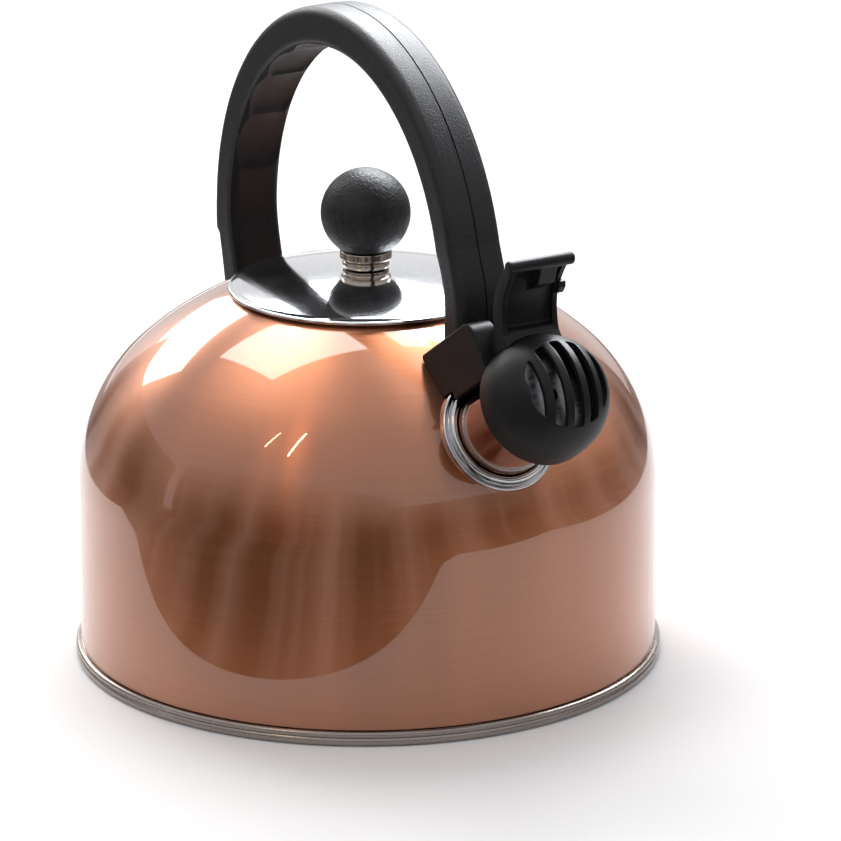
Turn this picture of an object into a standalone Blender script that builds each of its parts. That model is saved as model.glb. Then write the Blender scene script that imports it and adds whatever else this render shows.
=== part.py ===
"""Stovetop whistling kettle: domed steel body, lift-off lid, fixed arch handle and a sprung whistle lever.

Metres, +Z up. The origin is the middle of the flat underside, and +X points towards the spout.
The handle's arch lies in the XZ plane, and the whistle lever turns about a pin along Y.
"""

import math

import bmesh
import bpy
from mathutils import Matrix, Vector

# Clearances
GAP = 0.0003  # between pieces that rest on each other
RUNNING_GAP = 0.00008  # between the hinge pin and what turns on it
BRACKET_ROOM = 0.0022  # above the dome, under a handle leg's end

# Body
RIM_RADIUS = 0.099
RIM_HEIGHT = 0.005
BODY_RADIUS = 0.0972
BODY_WALL = 0.001
CYLINDER_TOP = 0.0612
SHOULDER_RADIUS = 0.0598
SHOULDER_SWEEP = math.radians(48.7)
CROWN_RADIUS = 0.104
CROWN_START = math.radians(69.4)
NECK_RADIUS = 0.0415
NECK_BOTTOM = 0.119
NECK_BEND = 0.0016
NECK_TOP = 0.1256
PAN_THICKNESS = 0.0012
BODY_STEPS = 48

# Spout, along its own axis from the middle of the ring on the dome
SPOUT_TILT = math.radians(33.5)
SPOUT_BASE = Vector((0.0835, 0.0, 0.098))
SPOUT_LENGTH = 0.030
SPOUT_ROOT_RADIUS = 0.0158
SPOUT_MOUTH_RADIUS = 0.0146
SPOUT_WALL = 0.001
RING_RADIUS = 0.0201
RING_INNER = 0.0163
RING_TOP = 0.0026
SPOUT_STEPS = 32

# Lid
LID_RADIUS = 0.046
LID_TOP = 0.1334
LID_CURVE = 0.168
LID_SHEET = 0.0008
LID_SCREW_HOLE = 0.0023
SKIRT_RADIUS = 0.0406
SKIRT_BOTTOM = 0.115
SKIRT_TOP = 0.1272
KNOB_RADIUS = 0.015
KNOB_CENTRE_Z = 0.152
KNOB_SEAT_Z = 0.1397
KNOB_BORE = (0.0038, 0.151)

# Handle: the space between two ellipses, with legs below their centre
ARCH_CENTRE = (-0.0068, 0.135)
ARCH_OUTER = (0.0805, 0.0854)
ARCH_INNER = (0.0676, 0.0718)
ARCH_TILT = math.radians(2.0)
ARCH_HALF_WIDTH = 0.0098
ARCH_EDGE = 0.0032
GROOVE_START = 95.0
GROOVE_SWEEP = 17.5
GROOVES = 4
GROOVE_DEPTH = 0.0009
SHELL_WALL = 0.0026
SCREW_ANGLES = (22.0, 66.0, 104.0, 172.0)
BOSS_RADIUS = 0.0034
FRONT_LEG = (0.0638, 0.0764)
FRONT_LEG_BOTTOM = 0.112
FRONT_LEG_TOP = 0.1360
FRONT_BEND_INNER = [(0.0617, 0.1465), (0.0630, 0.1415)]
FRONT_BEND_OUTER = (0.0756, 0.1430)
REAR_LEG_OUTER = [(-0.0874, 0.1285), (-0.0855, 0.1268), (-0.0831, 0.116), (-0.0793, 0.096)]
REAR_LEG_INNER = [(-0.0662, 0.100), (-0.0703, 0.116), (-0.0726, 0.1250)]
HOLLOW_HALF_WIDTH = 0.0064
HOLLOW_ANGLES = range(18, 163, 9)
REAR_POCKET = ((-0.0799, -0.0057, 0.09), (-0.0722, 0.0057, 0.125))
FRONT_TAB_SLOT = ((0.0620, -0.00105, 0.10), (0.0700, 0.00105, 0.1229))
REAR_TAB_SLOT = ((-0.0793, -0.00105, 0.09), (-0.0733, 0.00105, 0.1231))

# Front housing, in the spout's own axes: along it, and square to it upwards
HOUSING_BACK = -0.009
HOUSING_FRONT = 0.0263
HOUSING_BOTTOM = 0.0123
HOUSING_TOP = 0.0315
HOUSING_HALF_WIDTH = 0.014
HOUSING_NOSE = 0.005
HOUSING_CHIN = 0.002
HOUSING_HEEL_LENGTH = 0.012
HOUSING_HEEL_DROP = 0.006
TENON = (0.0640, 0.0690)
TENON_HALF_WIDTH = 0.006
YOKE_HALF_WIDTH = 0.0056
YOKE_OUTLINE = [(0.012, 0.0177), (0.04, 0.0177), (0.04, 0.05), (0.012, 0.05)]

# Whistle lever and cap
PIN_AT = (0.0175, 0.0235)
PIN_RADIUS = 0.0015
PIN_LOW = -0.0116
PIN_HIGH = 0.0135
KNUCKLE_RADIUS = 0.005
CAP_CENTRE = 0.0335
CAP_RADIUS = 0.0204
CAP_WALL = 0.0018
CAP_RIM = 0.0275
SLOT_PITCH = 0.006
SLOT_COUNT = 5
SLOT_WIDTH = 0.0034
GRILLE_RADIUS = 0.0143
ARM_HALF_WIDTH = 0.0105
BAR_AT = (0.108, 0.1603)
BAR_RADIUS = 0.0021
BAR_LENGTH = 0.0245
SPRING_WIRE = 0.00045
SPRING_COIL = 0.0031
SPRING_TURNS = 3.25
SPRING_ENDS = (0.0020, 0.0047)
SPRING_TAIL = 0.0024
BLADE_LINE = [
    (0.0990, 0.1300), (0.0985, 0.1370), (0.0984, 0.1435), (0.0996, 0.1500), (0.1030, 0.1562), BAR_AT,
]
BLADE_HALF_THICKNESS = 0.0015
RIB_OUTLINE = [
    (0.0972, 0.1295), (0.1040, 0.1325), (0.1022, 0.1400), (0.1022, 0.1470), (0.1044, 0.1528),
    (0.1078, 0.1583), (0.1048, 0.1586), (0.0988, 0.1522), (0.0972, 0.1435),
]
RIB_INNER, RIB_OUTER = 0.0084, 0.0104
GUSSET_OUTLINE = [(0.0990, 0.1490), (0.1075, 0.1545), (0.1092, 0.1595), (0.1040, 0.1590)]
FOOT_OUTLINE = [(0.0285, 0.0160), (0.0380, 0.0160), (0.0372, 0.0225), (0.0345, 0.0265), (0.0285, 0.0240)]
FOOT_HALF_WIDTH = 0.0103
WEB_OUTLINE = [(0.0175, 0.0190), (0.0300, 0.0205), (0.0335, 0.0262), (0.0290, 0.0285), (0.0175, 0.0282)]
HOLDER_PROFILE = [
    (0.0145, 0.0385), (0.0176, 0.0385), (0.0176, 0.0285), (0.0166, 0.0285), (0.0166, 0.0375),
    (0.0145, 0.0375),
]

# Screws that cross the handle's legs
LEG_SCREW_RADIUS = 0.0015
LEG_SCREW_HEAD = 0.0026
FRONT_SCREW_AT = (0.0664, 0.1193)
REAR_SCREW_AT = (-0.0763, 0.1172)

# Brackets under the legs: the foot's low and high x, and the tab's low x, high x and top
FRONT_FOOT = (0.0641, 0.0688)
FRONT_TAB = (0.0641, 0.0688, 0.1225)
REAR_FOOT = (-0.0792, -0.0728)
REAR_TAB = (-0.0790, -0.0736, 0.1227)


def clear_scene():
    for obj in list(bpy.data.objects):
        bpy.data.objects.remove(obj, do_unlink=True)


def new_collection(name, hidden=False):
    collection = bpy.data.collections.new(name)
    bpy.context.scene.collection.children.link(collection)
    collection.hide_render = hidden
    return collection


def finish(name, colour, roughness, metallic):
    material = bpy.data.materials.new(name)
    material.use_nodes = True
    shader = material.node_tree.nodes["Principled BSDF"]
    shader.inputs["Base Color"].default_value = (*colour, 1.0)
    shader.inputs["Roughness"].default_value = roughness
    shader.inputs["Metallic"].default_value = metallic
    return material


def add_object(name, data, collection, material=None):
    obj = bpy.data.objects.new(name, data)
    collection.objects.link(obj)
    if material is not None:
        data.materials.append(material)
    if collection.hide_render:
        obj.hide_render = True
        obj.display_type = "WIRE"
    return obj


def weld(mesh):
    """Merges a filled curve's caps with its sides, and makes each flat cap one face."""
    bm = bmesh.new()
    bm.from_mesh(mesh)
    bmesh.ops.remove_doubles(bm, verts=bm.verts, dist=1e-6)
    bmesh.ops.dissolve_limit(bm, angle_limit=math.radians(0.3), verts=bm.verts, edges=bm.edges)
    bmesh.ops.recalc_face_normals(bm, faces=bm.faces)
    bm.to_mesh(mesh)
    bm.free()


def mesh_of(curve_object):
    """Replaces a curve object by the mesh it makes, in the same place."""
    name, materials = curve_object.name, list(curve_object.data.materials)
    collection = curve_object.users_collection[0]
    bpy.context.view_layer.update()
    graph = bpy.context.evaluated_depsgraph_get()
    mesh = bpy.data.meshes.new_from_object(curve_object.evaluated_get(graph))
    world = curve_object.matrix_world.copy()
    bpy.data.objects.remove(curve_object, do_unlink=True)
    weld(mesh)
    mesh.materials.clear()
    obj = add_object(name, mesh, collection, materials[0] if materials else None)
    obj.matrix_world = world
    return obj


def smooth(obj, angle=35.0):
    obj.data.shade_smooth()
    obj.data.set_sharp_from_angle(angle=math.radians(angle))
    return obj


def turned(name, profile, collection, material=None, closed=False, steps=SPOUT_STEPS):
    """A turned shape about Z, from (radius, height) points that run down its outer side."""
    mesh = bpy.data.meshes.new(name)
    count = len(profile)
    edges = [(i, i + 1) for i in range(count - 1)] + ([(count - 1, 0)] if closed else [])
    mesh.from_pydata([(r, 0.0, z) for r, z in profile], edges, [])
    obj = add_object(name, mesh, collection, material)
    screw = obj.modifiers.new("turn", "SCREW")
    screw.steps = screw.render_steps = steps
    screw.use_merge_vertices = True
    screw.merge_threshold = 1e-5
    screw.use_smooth_shade = True
    return obj


def plate(name, outline, low, high, collection, material=None):
    """A flat outline of (x, z) points, from y = low to y = high."""
    curve = bpy.data.curves.new(name, "CURVE")
    curve.dimensions = "2D"
    curve.fill_mode = "BOTH"
    curve.extrude = (high - low) / 2
    spline = curve.splines.new("POLY")
    spline.points.add(len(outline) - 1)
    for point, (x, z) in zip(spline.points, outline):
        point.co = (x, z, 0.0, 1.0)
    spline.use_cyclic_u = True
    obj = add_object(name, curve, collection, material)
    obj.location = (0.0, (high + low) / 2, 0.0)
    obj.rotation_euler = (math.pi / 2, 0.0, 0.0)
    return mesh_of(obj)


def box(name, low, high, collection, material=None):
    mesh = bpy.data.meshes.new(name)
    bm = bmesh.new()
    bmesh.ops.create_cube(bm, size=1.0)
    size = [b - a for a, b in zip(low, high)]
    bmesh.ops.scale(bm, vec=size, verts=bm.verts)
    bm.to_mesh(mesh)
    bm.free()
    obj = add_object(name, mesh, collection, material)
    obj.location = [(a + b) / 2 for a, b in zip(low, high)]
    return obj


def rod(name, radius, low, high, at, collection, material=None, steps=20):
    """A round bar along Y, from y = low to y = high, whose axis passes through (x, z)."""
    mesh = bpy.data.meshes.new(name)
    bm = bmesh.new()
    bmesh.ops.create_cone(
        bm, cap_ends=True, segments=steps, radius1=radius, radius2=radius, depth=high - low
    )
    bm.to_mesh(mesh)
    bm.free()
    obj = add_object(name, mesh, collection, material)
    obj.rotation_euler = (math.pi / 2, 0.0, 0.0)
    obj.location = (at[0], (low + high) / 2, at[1])
    return smooth(obj)


def on_spout(obj):
    """Turns a shape made about Z so that its axis is the spout's and its zero is the ring's middle."""
    obj.rotation_euler = (0.0, math.pi / 2 - SPOUT_TILT, 0.0)
    obj.location = SPOUT_BASE
    return obj


def spout_place(along, above):
    """(x, z) of a point given along the spout's axis and square to it, upwards."""
    x = SPOUT_BASE.x + along * math.cos(SPOUT_TILT) - above * math.sin(SPOUT_TILT)
    z = SPOUT_BASE.z + along * math.sin(SPOUT_TILT) + above * math.cos(SPOUT_TILT)
    return x, z


def combine(obj, operation, *others):
    for other in others:
        modifier = obj.modifiers.new(operation.lower() + "_" + other.name, "BOOLEAN")
        modifier.operation = operation
        modifier.solver = "EXACT"
        modifier.object = other
    return obj


def round_edges(obj, width, segments=2, angle=40.0):
    bevel = obj.modifiers.new("rounded", "BEVEL")
    bevel.width = width
    bevel.segments = segments
    bevel.limit_method = "ANGLE"
    bevel.angle_limit = math.radians(angle)
    bevel.use_clamp_overlap = True
    return obj


def arc(centre, radius, start, end, steps):
    """Points on a circle from one angle to another, both ends included."""
    angles = [start + (end - start) * i / steps for i in range(steps + 1)]
    return [(centre[0] + radius * math.cos(a), centre[1] + radius * math.sin(a)) for a in angles]


def dome(offset):
    """The body's crown and shoulder from the neck down, moved out by offset."""
    shoulder = (BODY_RADIUS - SHOULDER_RADIUS, CYLINDER_TOP)
    back = CROWN_RADIUS - SHOULDER_RADIUS
    crown = (
        shoulder[0] - back * math.cos(SHOULDER_SWEEP),
        shoulder[1] - back * math.sin(SHOULDER_SWEEP),
    )
    upper = arc(crown, CROWN_RADIUS + offset, CROWN_START, SHOULDER_SWEEP, 4)
    lower = arc(shoulder, SHOULDER_RADIUS + offset, SHOULDER_SWEEP, 0.0, 6)
    return upper + lower[1:]


def dome_solid(name, offset, cutters):
    """The body's outside as a solid that pieces standing on it are cut with."""
    points = dome(offset)
    floor = 0.02
    profile = [(0.0, points[0][1]), *points, (points[-1][0], floor), (0.0, floor)]
    return turned(name, profile, cutters, steps=BODY_STEPS)


def build_body(parts, cutters, steel, copper):
    bend_centre = (NECK_RADIUS + NECK_BEND, NECK_TOP - NECK_BEND)
    bend = arc(bend_centre, NECK_BEND, math.pi, math.radians(100.0), 2)
    foot = (BODY_RADIUS, RIM_HEIGHT + GAP)
    shell = turned(
        "body_shell",
        [(NECK_RADIUS, NECK_BOTTOM), *bend, *dome(0.0), foot],
        parts,
        copper,
        steps=BODY_STEPS,
    )
    wall = shell.modifiers.new("wall", "SOLIDIFY")
    wall.thickness = BODY_WALL
    wall.offset = -1.0
    hole_radius = SPOUT_ROOT_RADIUS - 0.0013
    hole = turned(
        "spout_hole", [(0.0, 0.008), (hole_radius, 0.008), (hole_radius, -0.014), (0.0, -0.014)], cutters
    )
    combine(shell, "DIFFERENCE", on_spout(hole))

    flange = BODY_RADIUS - BODY_WALL - 0.0005
    inner = flange - 0.0012
    turned(
        "base_pan",
        [
            (0.0, PAN_THICKNESS),
            (inner, PAN_THICKNESS),
            (inner, 0.009),
            (flange, 0.009),
            (flange, RIM_HEIGHT),
            (BODY_RADIUS + 0.0004, RIM_HEIGHT),
            (RIM_RADIUS - 0.0004, RIM_HEIGHT - 0.0004),
            (RIM_RADIUS, RIM_HEIGHT - 0.0013),
            (RIM_RADIUS - 0.0004, RIM_HEIGHT - 0.0023),
            (RIM_RADIUS, RIM_HEIGHT - 0.0031),
            (RIM_RADIUS - 0.0005, 0.0006),
            (RIM_RADIUS - 0.0014, 0.0),
            (0.0, 0.0),
        ],
        parts,
        steel,
        steps=BODY_STEPS,
    )


def build_spout(parts, chrome, copper, dome_gap):
    def tube_radius(along):
        return SPOUT_ROOT_RADIUS + (SPOUT_MOUTH_RADIUS - SPOUT_ROOT_RADIUS) * along / SPOUT_LENGTH

    root, neck = -0.005, SPOUT_LENGTH - 0.0016
    tube = turned(
        "spout_tube",
        [
            (tube_radius(SPOUT_LENGTH) - SPOUT_WALL, SPOUT_LENGTH),
            (tube_radius(SPOUT_LENGTH) + 0.0003, SPOUT_LENGTH),
            (tube_radius(SPOUT_LENGTH) + 0.0006, SPOUT_LENGTH - 0.0006),
            (tube_radius(neck), neck),
            (tube_radius(root), root),
            (tube_radius(root) - SPOUT_WALL, root),
        ],
        parts,
        copper,
        closed=True,
    )
    combine(on_spout(tube), "DIFFERENCE", dome_gap)
    ring = turned(
        "spout_ring",
        [
            (RING_INNER, RING_TOP - 0.0003),
            (RING_INNER + 0.0009, RING_TOP),
            (RING_INNER + 0.0018, RING_TOP - 0.0005),
            (RING_INNER + 0.0022, RING_TOP - 0.0014),
            (RING_RADIUS - 0.0006, RING_TOP - 0.0017),
            (RING_RADIUS, RING_TOP - 0.0024),
            (RING_RADIUS, -0.007),
            (RING_INNER, -0.007),
        ],
        parts,
        chrome,
        closed=True,
    )
    combine(on_spout(ring), "DIFFERENCE", dome_gap)


def lid_height(radius):
    return LID_TOP - LID_CURVE + math.sqrt(LID_CURVE**2 - radius**2)


def build_lid(parts, chrome, steel, plastic, brass):
    radii = [LID_SCREW_HOLE, 0.017, 0.032, 0.0448]
    top = [(r, lid_height(r)) for r in radii]
    under = [(r, lid_height(r) - LID_SHEET) for r in reversed(radii)]
    edge_z = lid_height(LID_RADIUS)
    edge = [(LID_RADIUS, edge_z - 0.0004), (LID_RADIUS, edge_z - 0.0013), (0.0452, edge_z - 0.0013)]
    pieces = [
        turned("lid_cover", [*top, *edge, *under], parts, chrome, closed=True, steps=BODY_STEPS),
        turned(
            "lid_skirt",
            [
                (0.033, SKIRT_TOP),
                (SKIRT_RADIUS - 0.0006, SKIRT_TOP),
                (SKIRT_RADIUS, SKIRT_TOP - 0.0006),
                (SKIRT_RADIUS, SKIRT_BOTTOM),
                (SKIRT_RADIUS - LID_SHEET, SKIRT_BOTTOM),
                (SKIRT_RADIUS - LID_SHEET, SKIRT_TOP - LID_SHEET),
                (0.033, SKIRT_TOP - LID_SHEET),
            ],
            parts,
            steel,
            closed=True,
            steps=32,
        ),
        turned(
            "knob_collar",
            [
                (LID_SCREW_HOLE, 0.1394),
                (0.0082, 0.1394),
                (0.0087, 0.1388),
                (0.0087, 0.1368),
                (0.0081, 0.1361),
                (0.0075, 0.1358),
                (0.0079, 0.1353),
                (0.0079, 0.1343),
                (0.0075, LID_TOP + GAP),
                (LID_SCREW_HOLE, LID_TOP + GAP),
            ],
            parts,
            steel,
            closed=True,
            steps=24,
        ),
    ]
    seat_angle = math.asin((KNOB_SEAT_Z - KNOB_CENTRE_Z) / KNOB_RADIUS)
    ball = arc((0.0, KNOB_CENTRE_Z), KNOB_RADIUS, math.pi / 2, seat_angle, 9)
    pieces.append(
        turned(
            "knob_ball",
            [*ball, (KNOB_BORE[0], KNOB_SEAT_Z), KNOB_BORE, (0.0, KNOB_BORE[1])],
            parts,
            plastic,
            steps=24,
        )
    )
    insert = [(LID_SCREW_HOLE, 0.1505), (0.0035, 0.1505), (0.0035, 0.140), (LID_SCREW_HOLE, 0.140)]
    washer = [(LID_SCREW_HOLE, 0.1322), (0.0065, 0.1322), (0.0065, 0.1317), (LID_SCREW_HOLE, 0.1317)]
    screw = [
        (0.0, 0.1495),
        (0.002, 0.1495),
        (0.002, 0.1314),
        (0.0045, 0.1314),
        (0.0045, 0.1302),
        (0.0032, 0.1294),
        (0.0, 0.1294),
    ]
    pieces.append(turned("knob_insert", insert, parts, brass, closed=True, steps=16))
    pieces.append(turned("knob_washer", washer, parts, steel, closed=True, steps=16))
    pieces.append(turned("knob_screw", screw, parts, steel, steps=16))
    return pieces


def arch_point(size, degrees, inset=0.0):
    angle = math.radians(degrees)
    across, up = (size[0] + inset) * math.cos(angle), (size[1] + inset) * math.sin(angle)
    return (
        ARCH_CENTRE[0] + across * math.cos(ARCH_TILT) - up * math.sin(ARCH_TILT),
        ARCH_CENTRE[1] + across * math.sin(ARCH_TILT) + up * math.cos(ARCH_TILT),
    )


def groove_depth(degrees):
    """How far the finger grooves are cut into the arch's inner face at an angle."""
    place = (degrees - GROOVE_START) / GROOVE_SWEEP
    if not 0.0 <= place <= GROOVES:
        return 0.0
    return GROOVE_DEPTH * math.sin(math.pi * (place % 1.0))


def arch_outline():
    """The handle seen from its side, down the rear leg, back over the arch and down the front leg."""
    outer = [arch_point(ARCH_OUTER, a) for a in range(12, 177, 6)]
    groove_end = GROOVE_START + GROOVES * GROOVE_SWEEP
    in_grooves = [GROOVE_START + i * GROOVE_SWEEP / 4 for i in range(4 * GROOVES, -1, -1)]
    inner_angles = [177.0, groove_end + 4, *in_grooves, *range(89, 12, -6)]
    inner = [arch_point(ARCH_INNER, a, groove_depth(a)) for a in inner_angles]
    front_inner = [*FRONT_BEND_INNER, (FRONT_LEG[0], FRONT_LEG_TOP), (FRONT_LEG[0], FRONT_LEG_BOTTOM)]
    front_outer = [(FRONT_LEG[1], FRONT_LEG_BOTTOM), (FRONT_LEG[1], FRONT_LEG_TOP), FRONT_BEND_OUTER]
    return outer + REAR_LEG_OUTER + REAR_LEG_INNER + inner + front_inner + front_outer


def arch_hollow(cutters):
    """The space inside the two handle halves, left solid round each screw."""
    outer = [arch_point(ARCH_OUTER, a, -SHELL_WALL) for a in HOLLOW_ANGLES]
    inner = [arch_point(ARCH_INNER, a, SHELL_WALL + groove_depth(a)) for a in reversed(HOLLOW_ANGLES)]
    hollow = plate("arch_hollow", outer + inner, -HOLLOW_HALF_WIDTH, HOLLOW_HALF_WIDTH, cutters)
    for index, at in enumerate(screw_places()[:-1]):
        boss = rod(f"boss_{index + 1}", BOSS_RADIUS, -0.008, 0.008, at, cutters, steps=14)
        combine(hollow, "DIFFERENCE", boss)
    return hollow


def screw_places():
    middle = tuple((a + b) / 2 for a, b in zip(ARCH_OUTER, ARCH_INNER))
    return [arch_point(middle, a, 0.0005) for a in SCREW_ANGLES]


def handle_cutters(cutters, dome_gap, dome_room):
    """What both handle halves are cut with: the housing's space, the dome, the brackets and the hollow."""
    top = HOUSING_TOP + GAP
    below = [spout_place(s, t) for s, t in ((-0.04, -0.02), (0.05, -0.02), (0.05, top), (-0.04, top))]
    shoulder = plate("housing_space", below, -0.02, 0.02, cutters)
    rear_pocket = box("rear_pocket", *REAR_POCKET, cutters)
    combine(rear_pocket, "INTERSECT", dome_room)
    front_slot = box("front_slot", *FRONT_TAB_SLOT, cutters)
    rear_slot = box("rear_slot", *REAR_TAB_SLOT, cutters)
    return {
        "before_tenon": [shoulder, dome_gap],
        "after_tenon": [rear_pocket, front_slot, rear_slot, arch_hollow(cutters)],
    }


def handle_half(side, parts, cutters, plastic, shared, dome_room):
    """One moulded half of the handle. Screws enter the left half and bite in the right one."""
    left = side == "left"
    half = plate(
        f"handle_{side}_half", arch_outline(), -ARCH_HALF_WIDTH, ARCH_HALF_WIDTH, parts, plastic
    )
    round_edges(half, ARCH_EDGE, segments=2, angle=60.0)
    combine(half, "DIFFERENCE", *shared["before_tenon"])
    tenon = box(
        f"tenon_{side}",
        (TENON[0], -TENON_HALF_WIDTH, 0.10),
        (TENON[1], TENON_HALF_WIDTH, 0.134),
        cutters,
    )
    combine(tenon, "DIFFERENCE", dome_room)
    combine(half, "UNION", tenon)
    combine(half, "DIFFERENCE", *shared["after_tenon"])
    for index, at in enumerate(screw_places()):
        low, high = (-0.01, 0.02) if left else (-0.0074, 0.01)
        hole = rod(f"{side}_hole_{index + 1}", 0.0015, low, high, at, cutters, steps=12)
        combine(half, "DIFFERENCE", hole)
        if left:
            seat = rod(f"{side}_seat_{index + 1}", 0.0028, 0.0062, 0.02, at, cutters, steps=16)
            combine(half, "DIFFERENCE", seat)
    for place, at, depth in (("front", FRONT_SCREW_AT, 0.02), ("rear", REAR_SCREW_AT, 0.0076)):
        low, high = (-0.01, 0.02) if left else (-depth, 0.01)
        hole = rod(f"{side}_{place}_hole", LEG_SCREW_RADIUS + GAP, low, high, at, cutters, steps=14)
        combine(half, "DIFFERENCE", hole)
    if left:
        seat = rod("left_rear_seat", LEG_SCREW_HEAD + GAP, 0.0056, 0.02, REAR_SCREW_AT, cutters)
        combine(half, "DIFFERENCE", seat)
    low, high = (-0.03, GAP / 2) if left else (-GAP / 2, 0.03)
    combine(half, "DIFFERENCE", box(f"beyond_{side}", (-0.12, low, 0.05), (0.12, high, 0.25), cutters))
    return smooth(half)


def screw(name, at, head_y, tip_y, head_radius, shank_radius, parts, steel):
    """A cheese-head screw along Y, with its head towards +Y."""
    head_height = 0.0018
    profile = [
        (0.0, head_y + head_height),
        (head_radius - 0.0004, head_y + head_height),
        (head_radius, head_y + head_height - 0.0005),
        (head_radius, head_y),
        (shank_radius, head_y),
        (shank_radius, tip_y + 0.0008),
        (shank_radius * 0.4, tip_y),
        (0.0, tip_y),
    ]
    obj = turned(name, profile, parts, steel, steps=14)
    obj.rotation_euler = (-math.pi / 2, 0.0, 0.0)
    obj.location = (at[0], 0.0, at[1])
    return obj


def build_handle(parts, cutters, plastic, steel, dome_gap, dome_room):
    shared = handle_cutters(cutters, dome_gap, dome_room)
    for side in ("left", "right"):
        handle_half(side, parts, cutters, plastic, shared, dome_room)
    for index, at in enumerate(screw_places()):
        screw(f"handle_screw_{index + 1}", at, 0.0065, -0.0068, 0.0025, 0.0012, parts, steel)
    screw("rear_leg_screw", REAR_SCREW_AT, 0.0059, -0.0070, LEG_SCREW_HEAD, LEG_SCREW_RADIUS, parts, steel)
    screw("front_leg_screw", FRONT_SCREW_AT, 0.0108, -0.0104, LEG_SCREW_HEAD, LEG_SCREW_RADIUS, parts, steel)


def bracket(name, flange, tab, screw_at, parts, cutters, steel, dome_gap, dome_flange):
    """A steel foot spot-welded to the dome, with a tab that stands between the handle halves."""
    low, high = flange
    foot = box(name, (low, -0.0052, 0.08), (high, 0.0052, 0.14), parts, steel)
    combine(foot, "INTERSECT", dome_flange)
    upright = box(f"{name}_tab", (tab[0], -0.00075, 0.09), (tab[1], 0.00075, tab[2]), cutters)
    combine(foot, "UNION", upright)
    hole = rod(f"{name}_hole", LEG_SCREW_RADIUS + GAP, -0.01, 0.01, screw_at, cutters, steps=14)
    combine(foot, "DIFFERENCE", dome_gap, hole)
    return foot


def build_housing(parts, cutters, plastic, dome_gap):
    """The block at the front leg's foot, which straddles the spout and carries the lever's pin."""
    nose_centre = (HOUSING_FRONT - HOUSING_NOSE, HOUSING_TOP - HOUSING_NOSE)
    chin_centre = (HOUSING_FRONT - HOUSING_CHIN, HOUSING_BOTTOM + HOUSING_CHIN)
    heel = HOUSING_BOTTOM - HOUSING_HEEL_DROP
    outline = [
        (HOUSING_BACK, heel),
        (HOUSING_BACK + HOUSING_HEEL_LENGTH, heel),
        (HOUSING_BACK + HOUSING_HEEL_LENGTH, HOUSING_BOTTOM),
        *arc(chin_centre, HOUSING_CHIN, -math.pi / 2, 0.0, 3),
        *arc(nose_centre, HOUSING_NOSE, 0.0, math.pi / 2, 6),
        (HOUSING_BACK + 0.001, HOUSING_TOP),
        (HOUSING_BACK, HOUSING_TOP - 0.001),
    ]
    block = plate(
        "front_housing",
        [spout_place(s, t) for s, t in outline],
        -HOUSING_HALF_WIDTH,
        HOUSING_HALF_WIDTH,
        parts,
        plastic,
    )
    round_edges(block, 0.0009, segments=2, angle=60.0)
    neck_room = RING_RADIUS + 0.0004
    step = RING_TOP + GAP
    saddle_radius = SPOUT_ROOT_RADIUS + 0.0005
    saddle = [(0.0, 0.04), (saddle_radius, 0.04), (saddle_radius, step), (neck_room, step)]
    saddle += [(neck_room, -0.02), (0.0, -0.02)]
    spout_room = on_spout(turned("spout_room", saddle, cutters))
    yoke = plate(
        "yoke_space",
        [spout_place(s, t) for s, t in YOKE_OUTLINE],
        -YOKE_HALF_WIDTH,
        YOKE_HALF_WIDTH,
        cutters,
    )
    window = box(
        "tenon_window",
        (TENON[0] - GAP, -TENON_HALF_WIDTH - GAP, 0.09),
        (TENON[1] + GAP, TENON_HALF_WIDTH + GAP, 0.15),
        cutters,
    )
    at = FRONT_SCREW_AT
    pin_hole = rod(
        "pin_hole", PIN_RADIUS + RUNNING_GAP, PIN_LOW - GAP, 0.02, spout_place(*PIN_AT), cutters, steps=24
    )
    screw_hole = rod("housing_hole", LEG_SCREW_RADIUS + GAP, -0.0109, 0.02, at, cutters, steps=14)
    screw_seat = rod("housing_seat", LEG_SCREW_HEAD + GAP, 0.0105, 0.02, at, cutters)
    combine(block, "DIFFERENCE", dome_gap, spout_room, yoke, window, pin_hole, screw_hole, screw_seat)
    return smooth(block)


def arm_outline():
    """The lever's arm from its side: a thin blade that leans forward to the thumb bar."""
    middle, half = BLADE_LINE, BLADE_HALF_THICKNESS
    back, front = [], []
    for index, point in enumerate(middle):
        before = middle[max(index - 1, 0)]
        after = middle[min(index + 1, len(middle) - 1)]
        run = Vector((after[0] - before[0], after[1] - before[1])).normalized()
        back.append((point[0] - half * run.y, point[1] + half * run.x))
        front.append((point[0] + half * run.y, point[1] - half * run.x))
    return front + back[::-1]


def lever_pieces(cutters):
    """Side ribs, foot, web, knuckle, gusset and thumb bar, which are joined to the arm's blade."""
    pieces = []
    for index, (low, high) in enumerate(((-RIB_OUTER, -RIB_INNER), (RIB_INNER, RIB_OUTER))):
        pieces.append(plate(f"arm_rib_{index + 1}", RIB_OUTLINE, low, high, cutters))
    foot = [spout_place(s, t) for s, t in FOOT_OUTLINE]
    pieces.append(plate("arm_foot", foot, -FOOT_HALF_WIDTH, FOOT_HALF_WIDTH, cutters))
    web = [spout_place(s, t) for s, t in WEB_OUTLINE]
    pieces.append(plate("lever_web", web, -0.0051, 0.0011, cutters))
    pieces.append(rod("knuckle", KNUCKLE_RADIUS, -0.0052, 0.0012, spout_place(*PIN_AT), cutters, steps=24))
    pieces.append(plate("bar_gusset", GUSSET_OUTLINE, -0.0005, 0.0055, cutters))
    half = BAR_LENGTH / 2
    bar = rod("thumb_bar", BAR_RADIUS, -half, half, BAR_AT, cutters, steps=16)
    pieces.append(round_edges(bar, 0.0009, segments=2))
    return pieces


def cap_profile(offset):
    """The whistle cap's outside, moved out by offset, from its crown to its rim."""
    radius = CAP_RADIUS + offset
    points = arc((0.0, CAP_CENTRE), radius, math.pi / 2, 0.0, 8)
    return [*points, (radius, CAP_RIM)]


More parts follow.
